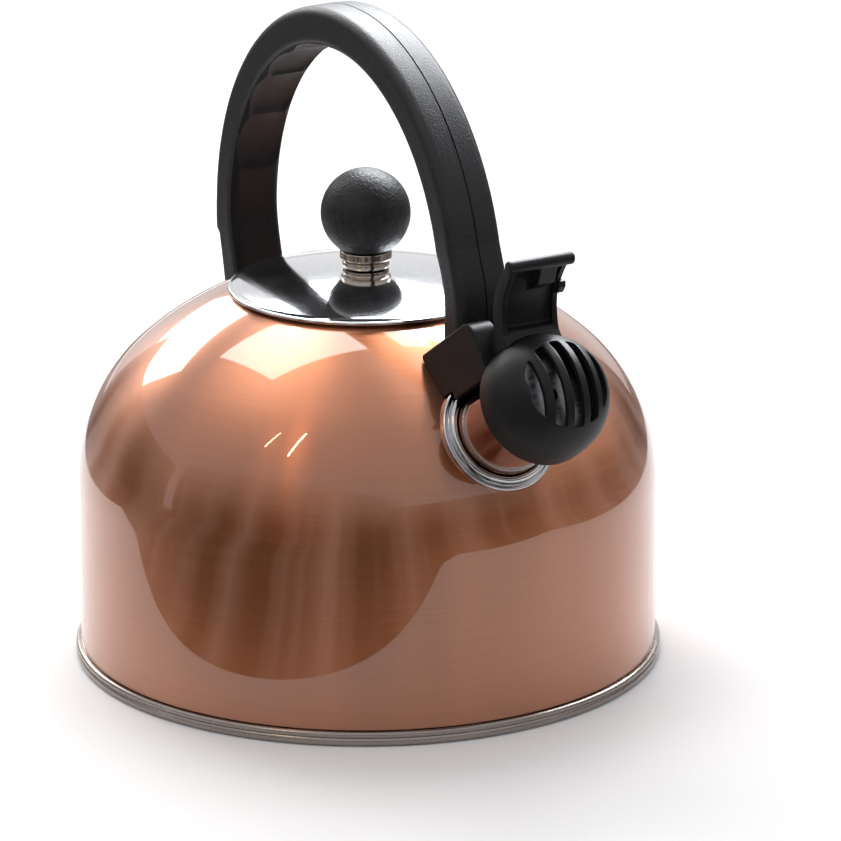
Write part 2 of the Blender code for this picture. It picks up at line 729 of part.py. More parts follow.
def build_lever(parts, cutters, plastic):
    arm = plate("whistle_lever", arm_outline(), -ARM_HALF_WIDTH, ARM_HALF_WIDTH, parts, plastic)
    combine(arm, "UNION", *lever_pieces(cutters))
    room_profile = [*cap_profile(GAP)[:-1], (CAP_RADIUS + GAP, 0.02), (0.0, 0.02)]
    cap_room = on_spout(turned("cap_room", room_profile, cutters))
    bore = rod(
        "knuckle_bore", PIN_RADIUS + RUNNING_GAP, -0.02, 0.02, spout_place(*PIN_AT), cutters, steps=24
    )
    combine(arm, "DIFFERENCE", cap_room, bore)
    return smooth(arm)


def slot_cutter(name, offset, length, cutters):
    """One round-ended slot through the cap's face, along the spout's axis."""
    half = SLOT_WIDTH / 2
    straight = length / 2 - half
    ends = arc((straight, 0.0), half, -math.pi / 2, math.pi / 2, 4)
    ends += arc((-straight, 0.0), half, math.pi / 2, 1.5 * math.pi, 4)
    curve = bpy.data.curves.new(name, "CURVE")
    curve.dimensions = "2D"
    curve.fill_mode = "BOTH"
    curve.extrude = 0.008
    spline = curve.splines.new("POLY")
    spline.points.add(len(ends) - 1)
    for point, (x, y) in zip(spline.points, ends):
        point.co = (x, y, 0.0, 1.0)
    spline.use_cyclic_u = True
    obj = on_spout(add_object(name, curve, cutters))
    obj.location += Vector((math.cos(SPOUT_TILT) * 0.05, offset, math.sin(SPOUT_TILT) * 0.05))
    return mesh_of(obj)


def build_cap(parts, cutters, plastic):
    cap = turned("whistle_cap", cap_profile(0.0), parts, plastic)
    wall = cap.modifiers.new("wall", "SOLIDIFY")
    wall.thickness = CAP_WALL
    wall.offset = -1.0
    for index in range(SLOT_COUNT):
        offset = (index - (SLOT_COUNT - 1) / 2) * SLOT_PITCH
        length = 2 * math.sqrt(GRILLE_RADIUS**2 - offset**2)
        combine(cap, "DIFFERENCE", slot_cutter(f"slot_{index + 1}", offset, length, cutters))
    return on_spout(cap)


def ring_profile(inner, outer, low, high):
    return [(inner, high), (outer, high), (outer, low), (inner, low)]


def build_whistle(parts, plastic, steel, rubber):
    """The discs that sound the whistle, and what holds and seals them inside the cap."""
    rings = (
        ("whistle_holder", HOLDER_PROFILE, plastic),
        ("whistle_seal", ring_profile(0.0115, 0.0163, 0.0303, 0.0313), rubber),
        ("whistle_back_plate", ring_profile(0.0030, 0.0163, 0.0316, 0.0322), steel),
        ("whistle_spacer", ring_profile(0.0150, 0.0163, 0.0325, 0.0363), steel),
        ("whistle_front_plate", ring_profile(0.0025, 0.0163, 0.0366, 0.0372), steel),
    )
    return [
        on_spout(turned(name, profile, parts, material, closed=True))
        for name, profile, material in rings
    ]


def build_spring(parts, steel):
    """A torsion spring round the pin, beside the knuckle, with two short tails."""
    per_turn = 10
    start_y, end_y = SPRING_ENDS
    count = int(SPRING_TURNS * per_turn)
    centre_x, centre_z = spout_place(*PIN_AT)
    points = []
    for index in range(count + 1):
        angle = 2 * math.pi * index / per_turn
        y = start_y + (end_y - start_y) * index / count
        points.append((SPRING_COIL * math.cos(angle), y, SPRING_COIL * math.sin(angle)))
    points.insert(0, (SPRING_COIL, start_y, -SPRING_TAIL))
    last = 2 * math.pi * count / per_turn
    end = points[-1]
    points.append((end[0] - SPRING_TAIL * math.sin(last), end_y, end[2] + SPRING_TAIL * math.cos(last)))
    curve = bpy.data.curves.new("lever_spring", "CURVE")
    curve.dimensions = "3D"
    curve.bevel_depth = SPRING_WIRE
    curve.bevel_resolution = 2
    curve.use_fill_caps = True
    spline = curve.splines.new("POLY")
    spline.points.add(len(points) - 1)
    for point, (x, y, z) in zip(spline.points, points):
        point.co = (x, y, z, 1.0)
    obj = add_object("lever_spring", curve, parts, steel)
    obj.location = (centre_x, 0.0, centre_z)
    return obj


def hang_on(name, at, pieces, parts):
    """Parents pieces to an empty on their joint's axis, without moving them."""
    empty = bpy.data.objects.new(name, None)
    parts.objects.link(empty)
    empty.location = at
    for piece in pieces:
        piece.parent = empty
        piece.matrix_parent_inverse = Matrix.Translation(-Vector(at))


def main():
    clear_scene()
    parts = new_collection("stovetop_whistling_kettle")
    cutters = new_collection("cutters", hidden=True)
    copper = finish("copper_lacquer", (0.43, 0.20, 0.11), 0.28, 1.0)
    chrome = finish("polished_chrome", (0.75, 0.75, 0.76), 0.08, 1.0)
    steel = finish("brushed_steel", (0.42, 0.38, 0.35), 0.35, 1.0)
    plastic = finish("black_plastic", (0.012, 0.012, 0.014), 0.55, 0.0)
    brass = finish("brass", (0.60, 0.42, 0.16), 0.3, 1.0)
    rubber = finish("silicone", (0.10, 0.10, 0.11), 0.7, 0.0)

    dome_gap = dome_solid("dome_gap", GAP, cutters)
    dome_flange = dome_solid("dome_flange", 0.0015, cutters)
    dome_room = dome_solid("dome_room", BRACKET_ROOM, cutters)

    build_body(parts, cutters, steel, copper)
    build_spout(parts, chrome, copper, dome_gap)
    build_handle(parts, cutters, plastic, steel, dome_gap, dome_room)
    build_housing(parts, cutters, plastic, dome_gap)
    bracket(
        "front_bracket", FRONT_FOOT, FRONT_TAB, FRONT_SCREW_AT,
        parts, cutters, steel, dome_gap, dome_flange,
    )
    bracket(
        "rear_bracket", REAR_FOOT, REAR_TAB, REAR_SCREW_AT,
        parts, cutters, steel, dome_gap, dome_flange,
    )
    rod("hinge_pin", PIN_RADIUS, PIN_LOW, PIN_HIGH, spout_place(*PIN_AT), parts, steel, steps=24)

    lid = build_lid(parts, chrome, steel, plastic, brass)
    hang_on("lid_lift", (0.0, 0.0, lid_height(LID_RADIUS)), lid, parts)

    whistle = [build_lever(parts, cutters, plastic), build_cap(parts, cutters, plastic)]
    whistle += build_whistle(parts, plastic, steel, rubber)
    whistle.append(build_spring(parts, steel))
    pin_x, pin_z = spout_place(*PIN_AT)
    hang_on("lever_hinge", (pin_x, 0.0, pin_z), whistle, parts)


main()
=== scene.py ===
"""Stovetop whistling kettle: the fine surfaces, finishes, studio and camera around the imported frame.

Metres, +Z up. The origin is the middle of the flat underside, and +X points towards the spout.
"""

import math

import bmesh
import bpy
import numpy as np
from mathutils import Matrix, Vector


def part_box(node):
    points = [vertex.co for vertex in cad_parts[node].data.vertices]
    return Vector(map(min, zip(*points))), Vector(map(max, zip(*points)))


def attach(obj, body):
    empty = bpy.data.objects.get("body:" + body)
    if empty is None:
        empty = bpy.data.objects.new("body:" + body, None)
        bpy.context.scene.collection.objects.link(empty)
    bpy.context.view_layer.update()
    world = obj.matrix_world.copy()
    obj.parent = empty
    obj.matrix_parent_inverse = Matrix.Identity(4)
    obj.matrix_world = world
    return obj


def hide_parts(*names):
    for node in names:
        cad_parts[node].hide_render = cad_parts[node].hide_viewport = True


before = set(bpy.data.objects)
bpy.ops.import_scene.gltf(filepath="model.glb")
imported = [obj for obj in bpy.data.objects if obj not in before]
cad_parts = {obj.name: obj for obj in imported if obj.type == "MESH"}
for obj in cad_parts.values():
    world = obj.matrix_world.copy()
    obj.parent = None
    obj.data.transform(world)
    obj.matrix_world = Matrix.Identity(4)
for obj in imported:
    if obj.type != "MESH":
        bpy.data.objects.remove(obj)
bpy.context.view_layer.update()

bl_info = {
    "name": "Stovetop Whistling Kettle",
    "version": (1, 0, 0),
    "blender": (4, 5, 0),
    "location": "View3D > Sidebar > Kettle",
    "description": "Builds a domed stovetop kettle with an arch handle, a lift-off lid and a whistle lever",
    "category": "Add Mesh",
}

# Body of revolution
RIM_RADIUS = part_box("base_pan")[1].x
RIM_HEIGHT = 0.0050
BODY_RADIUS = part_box("body_shell")[1].x
BODY_WALL = 0.0010
CYLINDER_TOP = 0.0612
SHOULDER_RADIUS = 0.0598
SHOULDER_SWEEP = math.radians(48.7)
CROWN_RADIUS = 0.1040
CROWN_START = math.radians(69.4)
NECK_RADIUS = 0.0415
NECK_BOTTOM = 0.1190
NECK_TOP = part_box("body_shell")[1].z
NECK_BEND = 0.0016

# Spout axis
SPOUT_TILT = math.radians(33.5)
SPOUT_BASE = Vector((0.0835, 0.0, 0.098))
SPOUT_LENGTH = 0.0300
SPOUT_ROOT_RADIUS = 0.0158
SPOUT_MOUTH_RADIUS = 0.0146
RING_RADIUS = 0.0201
RING_INNER = 0.0163
RING_TOP = 0.0026

# Lid and knob
LID_RADIUS = 0.0460
LID_TOP = 0.1334
LID_CURVE = 0.1680
KNOB_RADIUS = 0.0150
KNOB_CENTRE_Z = 0.1520
KNOB_SEAT_Z = 0.1397

# Handle
ARCH_CENTRE = (-0.0068, 0.1350)
ARCH_OUTER = (0.0805, 0.0854)
ARCH_INNER = (0.0676, 0.0718)
ARCH_TILT = math.radians(2.0)
ARCH_FROM = 13.0
ARCH_TO = 174.5
ARCH_STEP = 0.75
ARCH_HALF_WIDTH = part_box("handle_left_half")[1].y
SCALLOP_START = 95.0
SCALLOP_SWEEP = 17.5
SCALLOPS = 4
SCALLOP_FLAT = 0.0050
SCALLOP_FADE = 0.0038
SCREW_ANGLES = (22.0, 66.0, 104.0, 172.0)
REAR_SCREW_AT = (-0.0763, 0.1172)
FRONT_SCREW_AT = (0.0664, 0.1193)

# Cutters that run across the kettle end this far from its middle plane, clear of what they cut
CUT_THROUGH = 0.02

# The strips of each handle half's section that are matt and painted darker as shade, from the middle of its
# inner rounding to the seam
SHADED_GRIP_STRIPS = 14

# Housing, lever and cap, along the spout's axis and square to it
HOUSING_BACK = -0.0090
HOUSING_FRONT = 0.0263
HOUSING_BOTTOM = 0.0123
HOUSING_TOP = 0.0315
HOUSING_HALF_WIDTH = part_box("front_housing")[1].y
PIN_AT = (0.0175, 0.0235)
PIN_RADIUS = 0.0015
CAP_CENTRE = 0.0335
CAP_RADIUS = 0.0204
CAP_WALL = 0.0018
CAP_RIM = 0.0275
SLOT_CUTTERS_AT = 0.0505
BAR_AT = (0.1080, 0.1603)
BAR_RADIUS = 0.0021
BAR_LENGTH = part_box("whistle_lever")[1].y * 2

# Brushed metal stretches its highlights square to the brushing: a share of a full turn
QUARTER_TURN = 0.25

# Camera, in its own turn about the kettle
CAMERA_AZIMUTH = math.radians(59.5)
CAMERA_ELEVATION = math.radians(16.57)
CAMERA_DISTANCE = 1.8103
CAMERA_TARGET = Vector((0.0, 0.0, 0.105))
CAMERA_LENS = 231.9
CAMERA_SHIFT = (0.0642, -0.0864)
CAMERA_ROLL = math.radians(-0.35)

# Lights: name, place (towards the camera, to its right, up), size, power, colour and whether matt
# surfaces take its light
LIGHTS = (
    ("overhead", (-0.62, -0.20, 1.25), (1.0, 0.6), 9.0, (1.0, 0.99, 0.97), True),
    ("rear_left_window", (-1.20, -0.72, 0.72), (0.8, 0.6), 8.0, (1.0, 0.985, 0.96), True),
    ("high_rear", (-0.95, 0.30, 1.10), (1.3, 0.8), 62.0, (0.93, 0.96, 1.0), False),
    ("front_lamp", (0.62, -0.50, 1.05), (0.015, 0.34), 0.70, (1.0, 0.66, 0.38), True),
    ("second_lamp", (0.50, -0.66, 1.05), (0.010, 0.22), 0.25, (1.0, 0.66, 0.38), True),
)

# Painted reflection: glowing dark sheets in front of the kettle, standing for dark corners of the room, which
# only its reflections show: name, turn from the camera, then the table edge, the wall's distance, its half
# width and its height
PAINTED_REFLECTION_CARDS = (
    ("dark_front", -33.0, 0.150, 1.30, 1.40, 0.80),
    ("dark_middle", 32.0, 0.340, 1.20, 0.55, 0.45),
    ("dark_right", 102.0, 0.340, 1.00, 1.15, 0.78),
    ("dark_left", -118.0, 0.360, 1.10, 0.75, 0.50),
)


def colour_setting(name, description, default):
    return bpy.props.FloatVectorProperty(
        name=name, description=description, default=default, size=3, subtype="COLOR", min=0.0, max=1.0
    )


def length_setting(name, description, default, low, high):
    return bpy.props.FloatProperty(
        name=name, description=description, default=default, min=low, max=high, unit="LENGTH"
    )


class KettleSettings(bpy.types.PropertyGroup):
    """Sizes and colours that a user may change before building."""

    round_steps: bpy.props.IntProperty(
        name="Round steps", description="Faces round the body, lid and rim", default=256, min=48, max=512
    )
    lacquer: colour_setting("Copper lacquer", "Colour of the body's tinted lacquer", (0.41, 0.146, 0.064))
    steel: colour_setting("Polished steel", "Colour of the lid and trim", (0.80, 0.80, 0.82))
    plastic: colour_setting("Black plastic", "Colour of the handle and knob", (0.0085, 0.0085, 0.0105))
    handle_edge: length_setting("Handle edge", "Rounding along the handle's edges", 0.0034, 0.001, 0.005)
    scallop_depth: length_setting("Scallop depth", "Depth of the finger scallops", 0.0016, 0.0, 0.002)
    slot_pitch: length_setting("Slot pitch", "Distance between the cap's slots", 0.0060, 0.004, 0.008)
    slot_width: length_setting("Slot width", "Width of each slot in the cap", 0.0034, 0.001, 0.005)
    grain: length_setting("Grain size", "Size of the moulded grain on the handle", 0.0005, 0.0001, 0.002)


def settings():
    return bpy.context.scene.kettle_settings


# ---- shapes


def arc(centre, radius, start, end, steps):
    """Points on a circle from one angle to another, both ends included."""
    angles = np.linspace(start, end, steps + 1)
    return [(centre[0] + radius * math.cos(a), centre[1] + radius * math.sin(a)) for a in angles]


def subdivided(points, longest):
    """The same outline with no side longer than the given length."""
    out = [points[0]]
    for a, b in zip(points, points[1:]):
        count = max(1, math.ceil(math.dist(a, b) / longest))
        shares = [i / count for i in range(1, count + 1)]
        out += [(a[0] + (b[0] - a[0]) * t, a[1] + (b[1] - a[1]) * t) for t in shares]
    return out


def turned(profile, steps, closed=False):
    """Vertices and faces of a turned shape about Z, from (radius, height) points down its outer side."""
    vertices, rings = [], []
    for radius, height in profile:
        if radius < 1e-7:
            rings.append([len(vertices)] * steps)
            vertices.append((0.0, 0.0, height))
            continue
        rings.append(list(range(len(vertices), len(vertices) + steps)))
        for j in range(steps):
            angle = 2 * math.pi * j / steps
            vertices.append((radius * math.cos(angle), radius * math.sin(angle), height))
    faces = []
    pairs = list(zip(rings, rings[1:])) + ([(rings[-1], rings[0])] if closed else [])
    for upper, lower in pairs:
        for j in range(steps):
            k = (j + 1) % steps
            corners = [upper[j], lower[j], lower[k], upper[k]]
            face = [v for i, v in enumerate(corners) if v not in corners[:i]]
            if len(face) > 2:
                faces.append(face)
    return vertices, faces


def spout_matrix():
    return Matrix.Translation(SPOUT_BASE) @ Matrix.Rotation(math.pi / 2 - SPOUT_TILT, 4, "Y")


def spout_place(along, above):
    """(x, z) of a point given along the spout's axis and square to it, upwards."""
    x = SPOUT_BASE.x + along * math.cos(SPOUT_TILT) - above * math.sin(SPOUT_TILT)
    z = SPOUT_BASE.z + along * math.sin(SPOUT_TILT) + above * math.cos(SPOUT_TILT)
    return x, z


def dome_outline():
    """The body's crown and shoulder, from the neck down to the straight side."""
    shoulder = (BODY_RADIUS - SHOULDER_RADIUS, CYLINDER_TOP)
    back = CROWN_RADIUS - SHOULDER_RADIUS
    crown = (shoulder[0] - back * math.cos(SHOULDER_SWEEP), shoulder[1] - back * math.sin(SHOULDER_SWEEP))
    upper = arc(crown, CROWN_RADIUS, CROWN_START, SHOULDER_SWEEP, 28)
    return upper + arc(shoulder, SHOULDER_RADIUS, SHOULDER_SWEEP, 0.0, 36)[1:]


def dome_along(radius_about_spout, turn):
    """Distance along the spout's axis at which a line beside that axis meets the dome."""
    shoulder = np.array((BODY_RADIUS - SHOULDER_RADIUS, CYLINDER_TOP))
    crown = shoulder - (CROWN_RADIUS - SHOULDER_RADIUS) * np.array(
        (math.cos(SHOULDER_SWEEP), math.sin(SHOULDER_SWEEP))
    )
    matrix = spout_matrix()
    start = matrix @ Vector((radius_about_spout * math.cos(turn), radius_about_spout * math.sin(turn), 0.0))
    along = matrix.to_3x3() @ Vector((0.0, 0.0, 1.0))
    low, high = -0.02, 0.02
    for _ in range(30):
        middle = (low + high) / 2
        point = start + along * middle
        flat = np.array((math.hypot(point.x, point.y), point.z))
        angle = math.atan2(*(flat - shoulder)[::-1])
        centre, radius = (crown, CROWN_RADIUS) if angle > SHOULDER_SWEEP else (shoulder, SHOULDER_RADIUS)
        low, high = (low, middle) if np.linalg.norm(flat - centre) > radius else (middle, high)
    return (low + high) / 2


def in_scene(name, data):
    obj = bpy.data.objects.new(name, data)
    bpy.context.scene.collection.objects.link(obj)
    return obj


def new_object(name, vertices, faces, *materials):
    mesh = bpy.data.meshes.new(name)
    mesh.from_pydata(vertices, [], faces)
    mesh.update()
    for material in materials:
        mesh.materials.append(material)
    return in_scene(name, mesh)


def spun(name, profile, steps, closed=False):
    """A turned object from its profile."""
    return new_object(name, *turned(profile, steps, closed))


def slab(name, outline, low, high):
    """A flat outline of (x, z) points, from y = low to y = high."""
    count = len(outline)
    vertices = [(x, low, z) for x, z in outline] + [(x, high, z) for x, z in outline]
    faces = [list(range(count)), list(range(2 * count - 1, count - 1, -1))]
    faces += [[i, i + count, (i + 1) % count + count, (i + 1) % count] for i in range(count)]
    return outward(new_object(name, vertices, faces))


def rod(name, radius, low, high, at, steps=48, round_end=0.0):
    """A round bar along Y whose axis passes through (x, z), with square ends unless round_end is given."""
    profile = [(0.0, high)]
    if round_end:
        profile += arc((radius - round_end, high - round_end), round_end, math.pi / 2, 0.0, 6)
        profile += arc((radius - round_end, low + round_end), round_end, 0.0, -math.pi / 2, 6)
    else:
        profile += [(radius, high), (radius, low)]
    profile.append((0.0, low))
    vertices, faces = turned(profile, steps)
    moved = [(at[0] + x, z, at[1] - y) for x, y, z in vertices]
    return outward(new_object(name, moved, faces))


def outward(obj):
    """Merges doubles and turns every face outwards."""
    bm = bmesh.new()
    bm.from_mesh(obj.data)
    bmesh.ops.remove_doubles(bm, verts=bm.verts, dist=1e-7)
    bmesh.ops.recalc_face_normals(bm, faces=bm.faces)
    bm.to_mesh(obj.data)
    bm.free()
    return obj


def made_plain(obj):
    """Applies every modifier, so that what is left is a plain mesh at the origin."""
    bpy.context.view_layer.update()
    graph = bpy.context.evaluated_depsgraph_get()
    mesh = bpy.data.meshes.new_from_object(obj.evaluated_get(graph))
    obj.modifiers.clear()
    obj.data = mesh
    return obj


def combined(obj, operation, *others):
    """Joins or cuts an object with others, which are then removed."""
    for other in others:
        modifier = obj.modifiers.new(operation, "BOOLEAN")
        modifier.operation = operation
        modifier.solver = "EXACT"
        modifier.object = other
    made_plain(obj)
    for other in others:
        bpy.data.objects.remove(other, do_unlink=True)
    return obj


def moulded(obj, voxel, rounds):
    """Softens every edge the way a mould does: an even fine mesh, then a little smoothing."""
    remesh = obj.modifiers.new("even mesh", "REMESH")
    remesh.mode = "VOXEL"
    remesh.voxel_size = voxel
    soften = obj.modifiers.new("soften", "SMOOTH")
    soften.factor = 0.5
    soften.iterations = rounds
    return made_plain(obj)


def placed(obj, body, slot, *nodes, finish=None, sharp=35.0, matrix=None):
    """Finishes a piece: its place, shading, material, body and the nodes it stands for; the slot is not used.
    """
    if matrix is not None:
        obj.data.transform(matrix)
    obj.data.shade_smooth()
    obj.data.set_sharp_from_angle(angle=math.radians(sharp))
    if finish is not None:
        painted(obj, finish)
    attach(obj, body)
    if nodes:
        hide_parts(*nodes)


def painted(obj, finish):
    """Gives an object one finish in place of what it had."""
    obj.data.materials.clear()
    obj.data.materials.append(FINISHES[finish])


def on_spout(obj, body, slot, node, finish):
    """Finishes a piece that was made about the Z axis and belongs on the spout's."""
    placed(obj, body, slot, node, finish=finish, matrix=spout_matrix())


def closed_shell(outer, wall):
    """A closed profile: the outer points, then the same line set inwards by the wall's thickness."""
    points = np.array(outer, float)
    run = np.gradient(points, axis=0)
    run /= np.linalg.norm(run, axis=1)[:, None]
    inner = points + wall * np.stack([run[:, 1], -run[:, 0]], axis=1)
    return [tuple(p) for p in points] + [tuple(p) for p in inner[::-1]]


# ---- finishes


class Wiring:
    """A node tree wired by calls: a socket given as an input is linked, and any other value is set."""

    def __init__(self, tree):
        self.tree = tree

    def link(self, source, target):
        self.tree.links.new(source, target)

    def put(self, value, socket):
        if isinstance(value, bpy.types.NodeSocket):
            self.link(value, socket)
        else:
            socket.default_value = value

    def node(self, kind, inputs=None, **values):
        node = self.tree.nodes.new(kind)
        for key, value in values.items():
            setattr(node, key, value)
        for name, value in (inputs or {}).items():
            self.put(value, node.inputs[name])
        return node

    def math(self, operation, *terms):
        return self.node("ShaderNodeMath", dict(enumerate(terms)), operation=operation).outputs[0]


class Finish(Wiring):
    """One Principled material."""

    def __init__(self, name, **constants):
        self.material = bpy.data.materials.new(name)
        self.material.use_nodes = True
        super().__init__(self.material.node_tree)
        self.shader = self.tree.nodes["Principled BSDF"]
        self.shade(**constants)

    def shade(self, **inputs):
        """Sets or links inputs of the shader, whose names have _ for a space."""
        for name, value in inputs.items():
            self.put(value, self.shader.inputs[name.replace("_", " ")])

    def object_coordinates(self):
        return self.node("ShaderNodeTexCoord").outputs["Object"]

    def mapped(self, vector, scale):
        return self.node("ShaderNodeMapping", {"Vector": vector, "Scale": scale}).outputs[0]

    def noise(self, vector, scale, detail=3.0, roughness=0.5):
        inputs = {"Vector": vector, "Scale": scale, "Detail": detail, "Roughness": roughness}
        return self.node("ShaderNodeTexNoise", inputs).outputs["Fac"]

    def ranged(self, value, low, high, from_low=0.3, from_high=0.7):
        source = {"Value": value, "From Min": from_low, "From Max": from_high}
        return self.node("ShaderNodeMapRange", {**source, "To Min": low, "To Max": high}).outputs[0]

    def mixed(self, factor, colour_a, colour_b):
        node = self.node("ShaderNodeMix", {"Factor": factor}, data_type="RGBA")
        for name, value in (("A", colour_a), ("B", colour_b)):
            socket = next(s for s in node.inputs if s.name == name and s.type == "RGBA")
            self.put(value if isinstance(value, bpy.types.NodeSocket) else (*value, 1.0), socket)
        return next(s for s in node.outputs if s.type == "RGBA")

    def bump(self, height, distance):
        self.shade(Normal=self.node("ShaderNodeBump", {"Height": height, "Distance": distance}).outputs[0])

    def radial_tangent(self):
        self.shade(Tangent=self.node("ShaderNodeTangent", direction_type="RADIAL", axis="Z").outputs[0])

    def turned_streaks(self, across, along=9.0):
        """Noise coordinates drawn out round the Z axis, as brushing in a lathe leaves it."""
        x, y, z = self.node("ShaderNodeSeparateXYZ", {0: self.object_coordinates()}).outputs
        radius = self.math("SQRT", self.math("ADD", self.math("MULTIPLY", x, x), self.math("MULTIPLY", y, y)))
        depth = self.math("MULTIPLY", self.math("SUBTRACT", z, radius), across)
        stretched = {"X": self.math("MULTIPLY", x, along), "Y": self.math("MULTIPLY", y, along), "Z": depth}
        return self.node("ShaderNodeCombineXYZ", stretched).outputs[0]


def scaled(colour, factor):
    return tuple(min(1.0, c * factor) for c in colour)


def lacquered_copper(name, colour, brushed, rough, anisotropic):
    """Tinted clear lacquer over steel that was brushed round and round."""
    make = Finish(name, Metallic=1.0, Anisotropic=anisotropic, Anisotropic_Rotation=QUARTER_TURN,
                  Coat_Weight=1.0, Coat_Roughness=0.03, Coat_IOR=1.75)
    fine = make.noise(make.turned_streaks(3400.0, 18.0), 1.0, 3.0, 0.6)
    cloud = make.noise(make.object_coordinates(), 16.0, 2.0)
    dark, light = scaled(colour, 1.0 - brushed), scaled(colour, 1.0 + brushed)
    tone = make.mixed(make.ranged(fine, 0.0, 1.0), dark, light)
    tone = make.mixed(make.ranged(cloud, 0.0, 0.3), tone, scaled(colour, 0.92))
    make.shade(Base_Color=tone, Roughness=make.ranged(fine, rough * 0.9, rough * 1.1))
    make.bump(fine, 0.0000015)
    make.radial_tangent()
    return make.material


def turned_steel(name, colour, rough, across=1800.0, tone=0.05, depth=0.000001, anisotropic=0.0):
    """Bare metal with faint lathe or polishing lines round the Z axis."""
    make = Finish(name, Metallic=1.0, Anisotropic=anisotropic, Anisotropic_Rotation=QUARTER_TURN)
    lines = make.noise(make.turned_streaks(across), 1.0, 4.0, 0.6)
    haze = make.noise(make.object_coordinates(), 45.0, 4.0, 0.6)
    shade = make.mixed(make.ranged(lines, 0.0, 1.0), scaled(colour, 1.0 - tone), scaled(colour, 1.0 + tone))
    make.shade(Base_Color=shade, Roughness=make.ranged(haze, rough * 0.75, rough * 1.35))
    make.bump(lines, depth)
    if anisotropic:
        make.radial_tangent()
    return make.material


def moulded_plastic(name, colour, rough, grain, depth, sheen_tone=1.5, gloss=0.42):
    """Black moulded plastic with a fine leathery grain and slight wear in its gloss."""
    make = Finish(name, Metallic=0.0, IOR=1.5, Specular_IOR_Level=gloss)
    place = make.object_coordinates()
    cells = make.noise(place, 1.0 / grain, 2.0, 0.55)
    speck = make.noise(place, 0.45 / grain, 3.0, 0.6)
    patch = make.noise(place, 30.0, 3.0)
    shade = make.mixed(make.ranged(speck, 0.0, 1.0), scaled(colour, 0.8), scaled(colour, sheen_tone))
    make.shade(Base_Color=shade, Roughness=make.ranged(patch, rough * 0.92, rough * 1.1))
    make.bump(cells, depth)
    return make.material


def plain_metal(name, colour, rough):
    """Small steel or brass pieces: drawn, with a fine irregular grain."""
    make = Finish(name, Metallic=1.0)
    place = make.object_coordinates()
    grain = make.noise(make.mapped(place, (900.0, 120.0, 900.0)), 1.0, 3.0)
    stain = make.noise(place, 160.0, 2.0)
    shade = make.mixed(make.ranged(stain, 0.0, 1.0), scaled(colour, 0.82), colour)
    make.shade(Base_Color=shade, Roughness=make.ranged(grain, rough * 0.7, rough * 1.3))
    make.bump(grain, 0.000003)
    return make.material


def rubber(name, colour):
    """Soft silicone with a dusty bloom."""
    make = Finish(name, Metallic=0.0)
    bloom = make.noise(make.object_coordinates(), 220.0, 3.0)
    shade = make.mixed(make.ranged(bloom, 0.0, 1.0), scaled(colour, 0.8), scaled(colour, 1.2))
    make.shade(Base_Color=shade, Roughness=make.ranged(bloom, 0.55, 0.75))
    make.bump(bloom, 0.00002)
    return make.material


# Every material by its finish's name, filled by make_finishes
FINISHES = {}


def make_finishes():
    values = settings()
    lacquer, steel, plastic = tuple(values.lacquer), tuple(values.steel), tuple(values.plastic)
    grain = values.grain
    FINISHES.update(
        body=lacquered_copper("copper_lacquer", lacquer, 0.09, 0.33, 0.93),
        spout=lacquered_copper("spout_lacquer", (0.40, 0.215, 0.150), 0.03, 0.16, 0.3),
        lid=turned_steel("lid_mirror", steel, 0.085, 1600.0, 0.05, 0.0000008),
        chrome=turned_steel("ring_chrome", scaled(steel, 0.72), 0.10, 1200.0, 0.05),
        collar=turned_steel("collar_steel", (0.47, 0.41, 0.355), 0.18, 2400.0, 0.12, 0.000002, 0.4),
        rim=turned_steel("rim_steel", (0.33, 0.29, 0.265), 0.25, 1500.0, 0.08, 0.0000012, 0.5),
        inside=turned_steel("inner_steel", (0.60, 0.59, 0.58), 0.24, 900.0, 0.08, 0.000003, 0.5),
        small=plain_metal("small_steel", (0.62, 0.62, 0.64), 0.28),
        brass=plain_metal("insert_brass", (0.70, 0.50, 0.22), 0.30),
        seal=rubber("seal_silicone", (0.36, 0.06, 0.035)),
        # painted shade: the whistle's metal is painted dark for the shade inside the cap, so that it shows
        # only glints
        tin=plain_metal("whistle_metal", (0.20, 0.20, 0.21), 0.20),
    )
    # finish: share of the plastic's colour, roughness, grain size, grain depth, speck and gloss
    plastics = {
        "handle": (0.9, 0.38, grain, 0.00018, 1.5, 0.36),
        # painted shade: the inner face's grip plastic is darker and less glossy than the outside's, to keep
        # the copper's reflected light off it
        "grip": (0.7, 0.42, grain, 0.00018, 1.5, 0.12),
        "knob": (0.8, 0.47, grain * 2.2, 0.00026, 2.2, 0.32),
        "lever": (0.6, 0.42, grain * 0.8, 0.00003, 1.5, 0.26),
        "cap": (0.65, 0.44, grain * 0.7, 0.000015, 1.2, 0.26),
    }
    for finish, (share, *looks) in plastics.items():
        FINISHES[finish] = moulded_plastic(f"{finish}_plastic", scaled(plastic, share), *looks)


# ---- geometry node trees


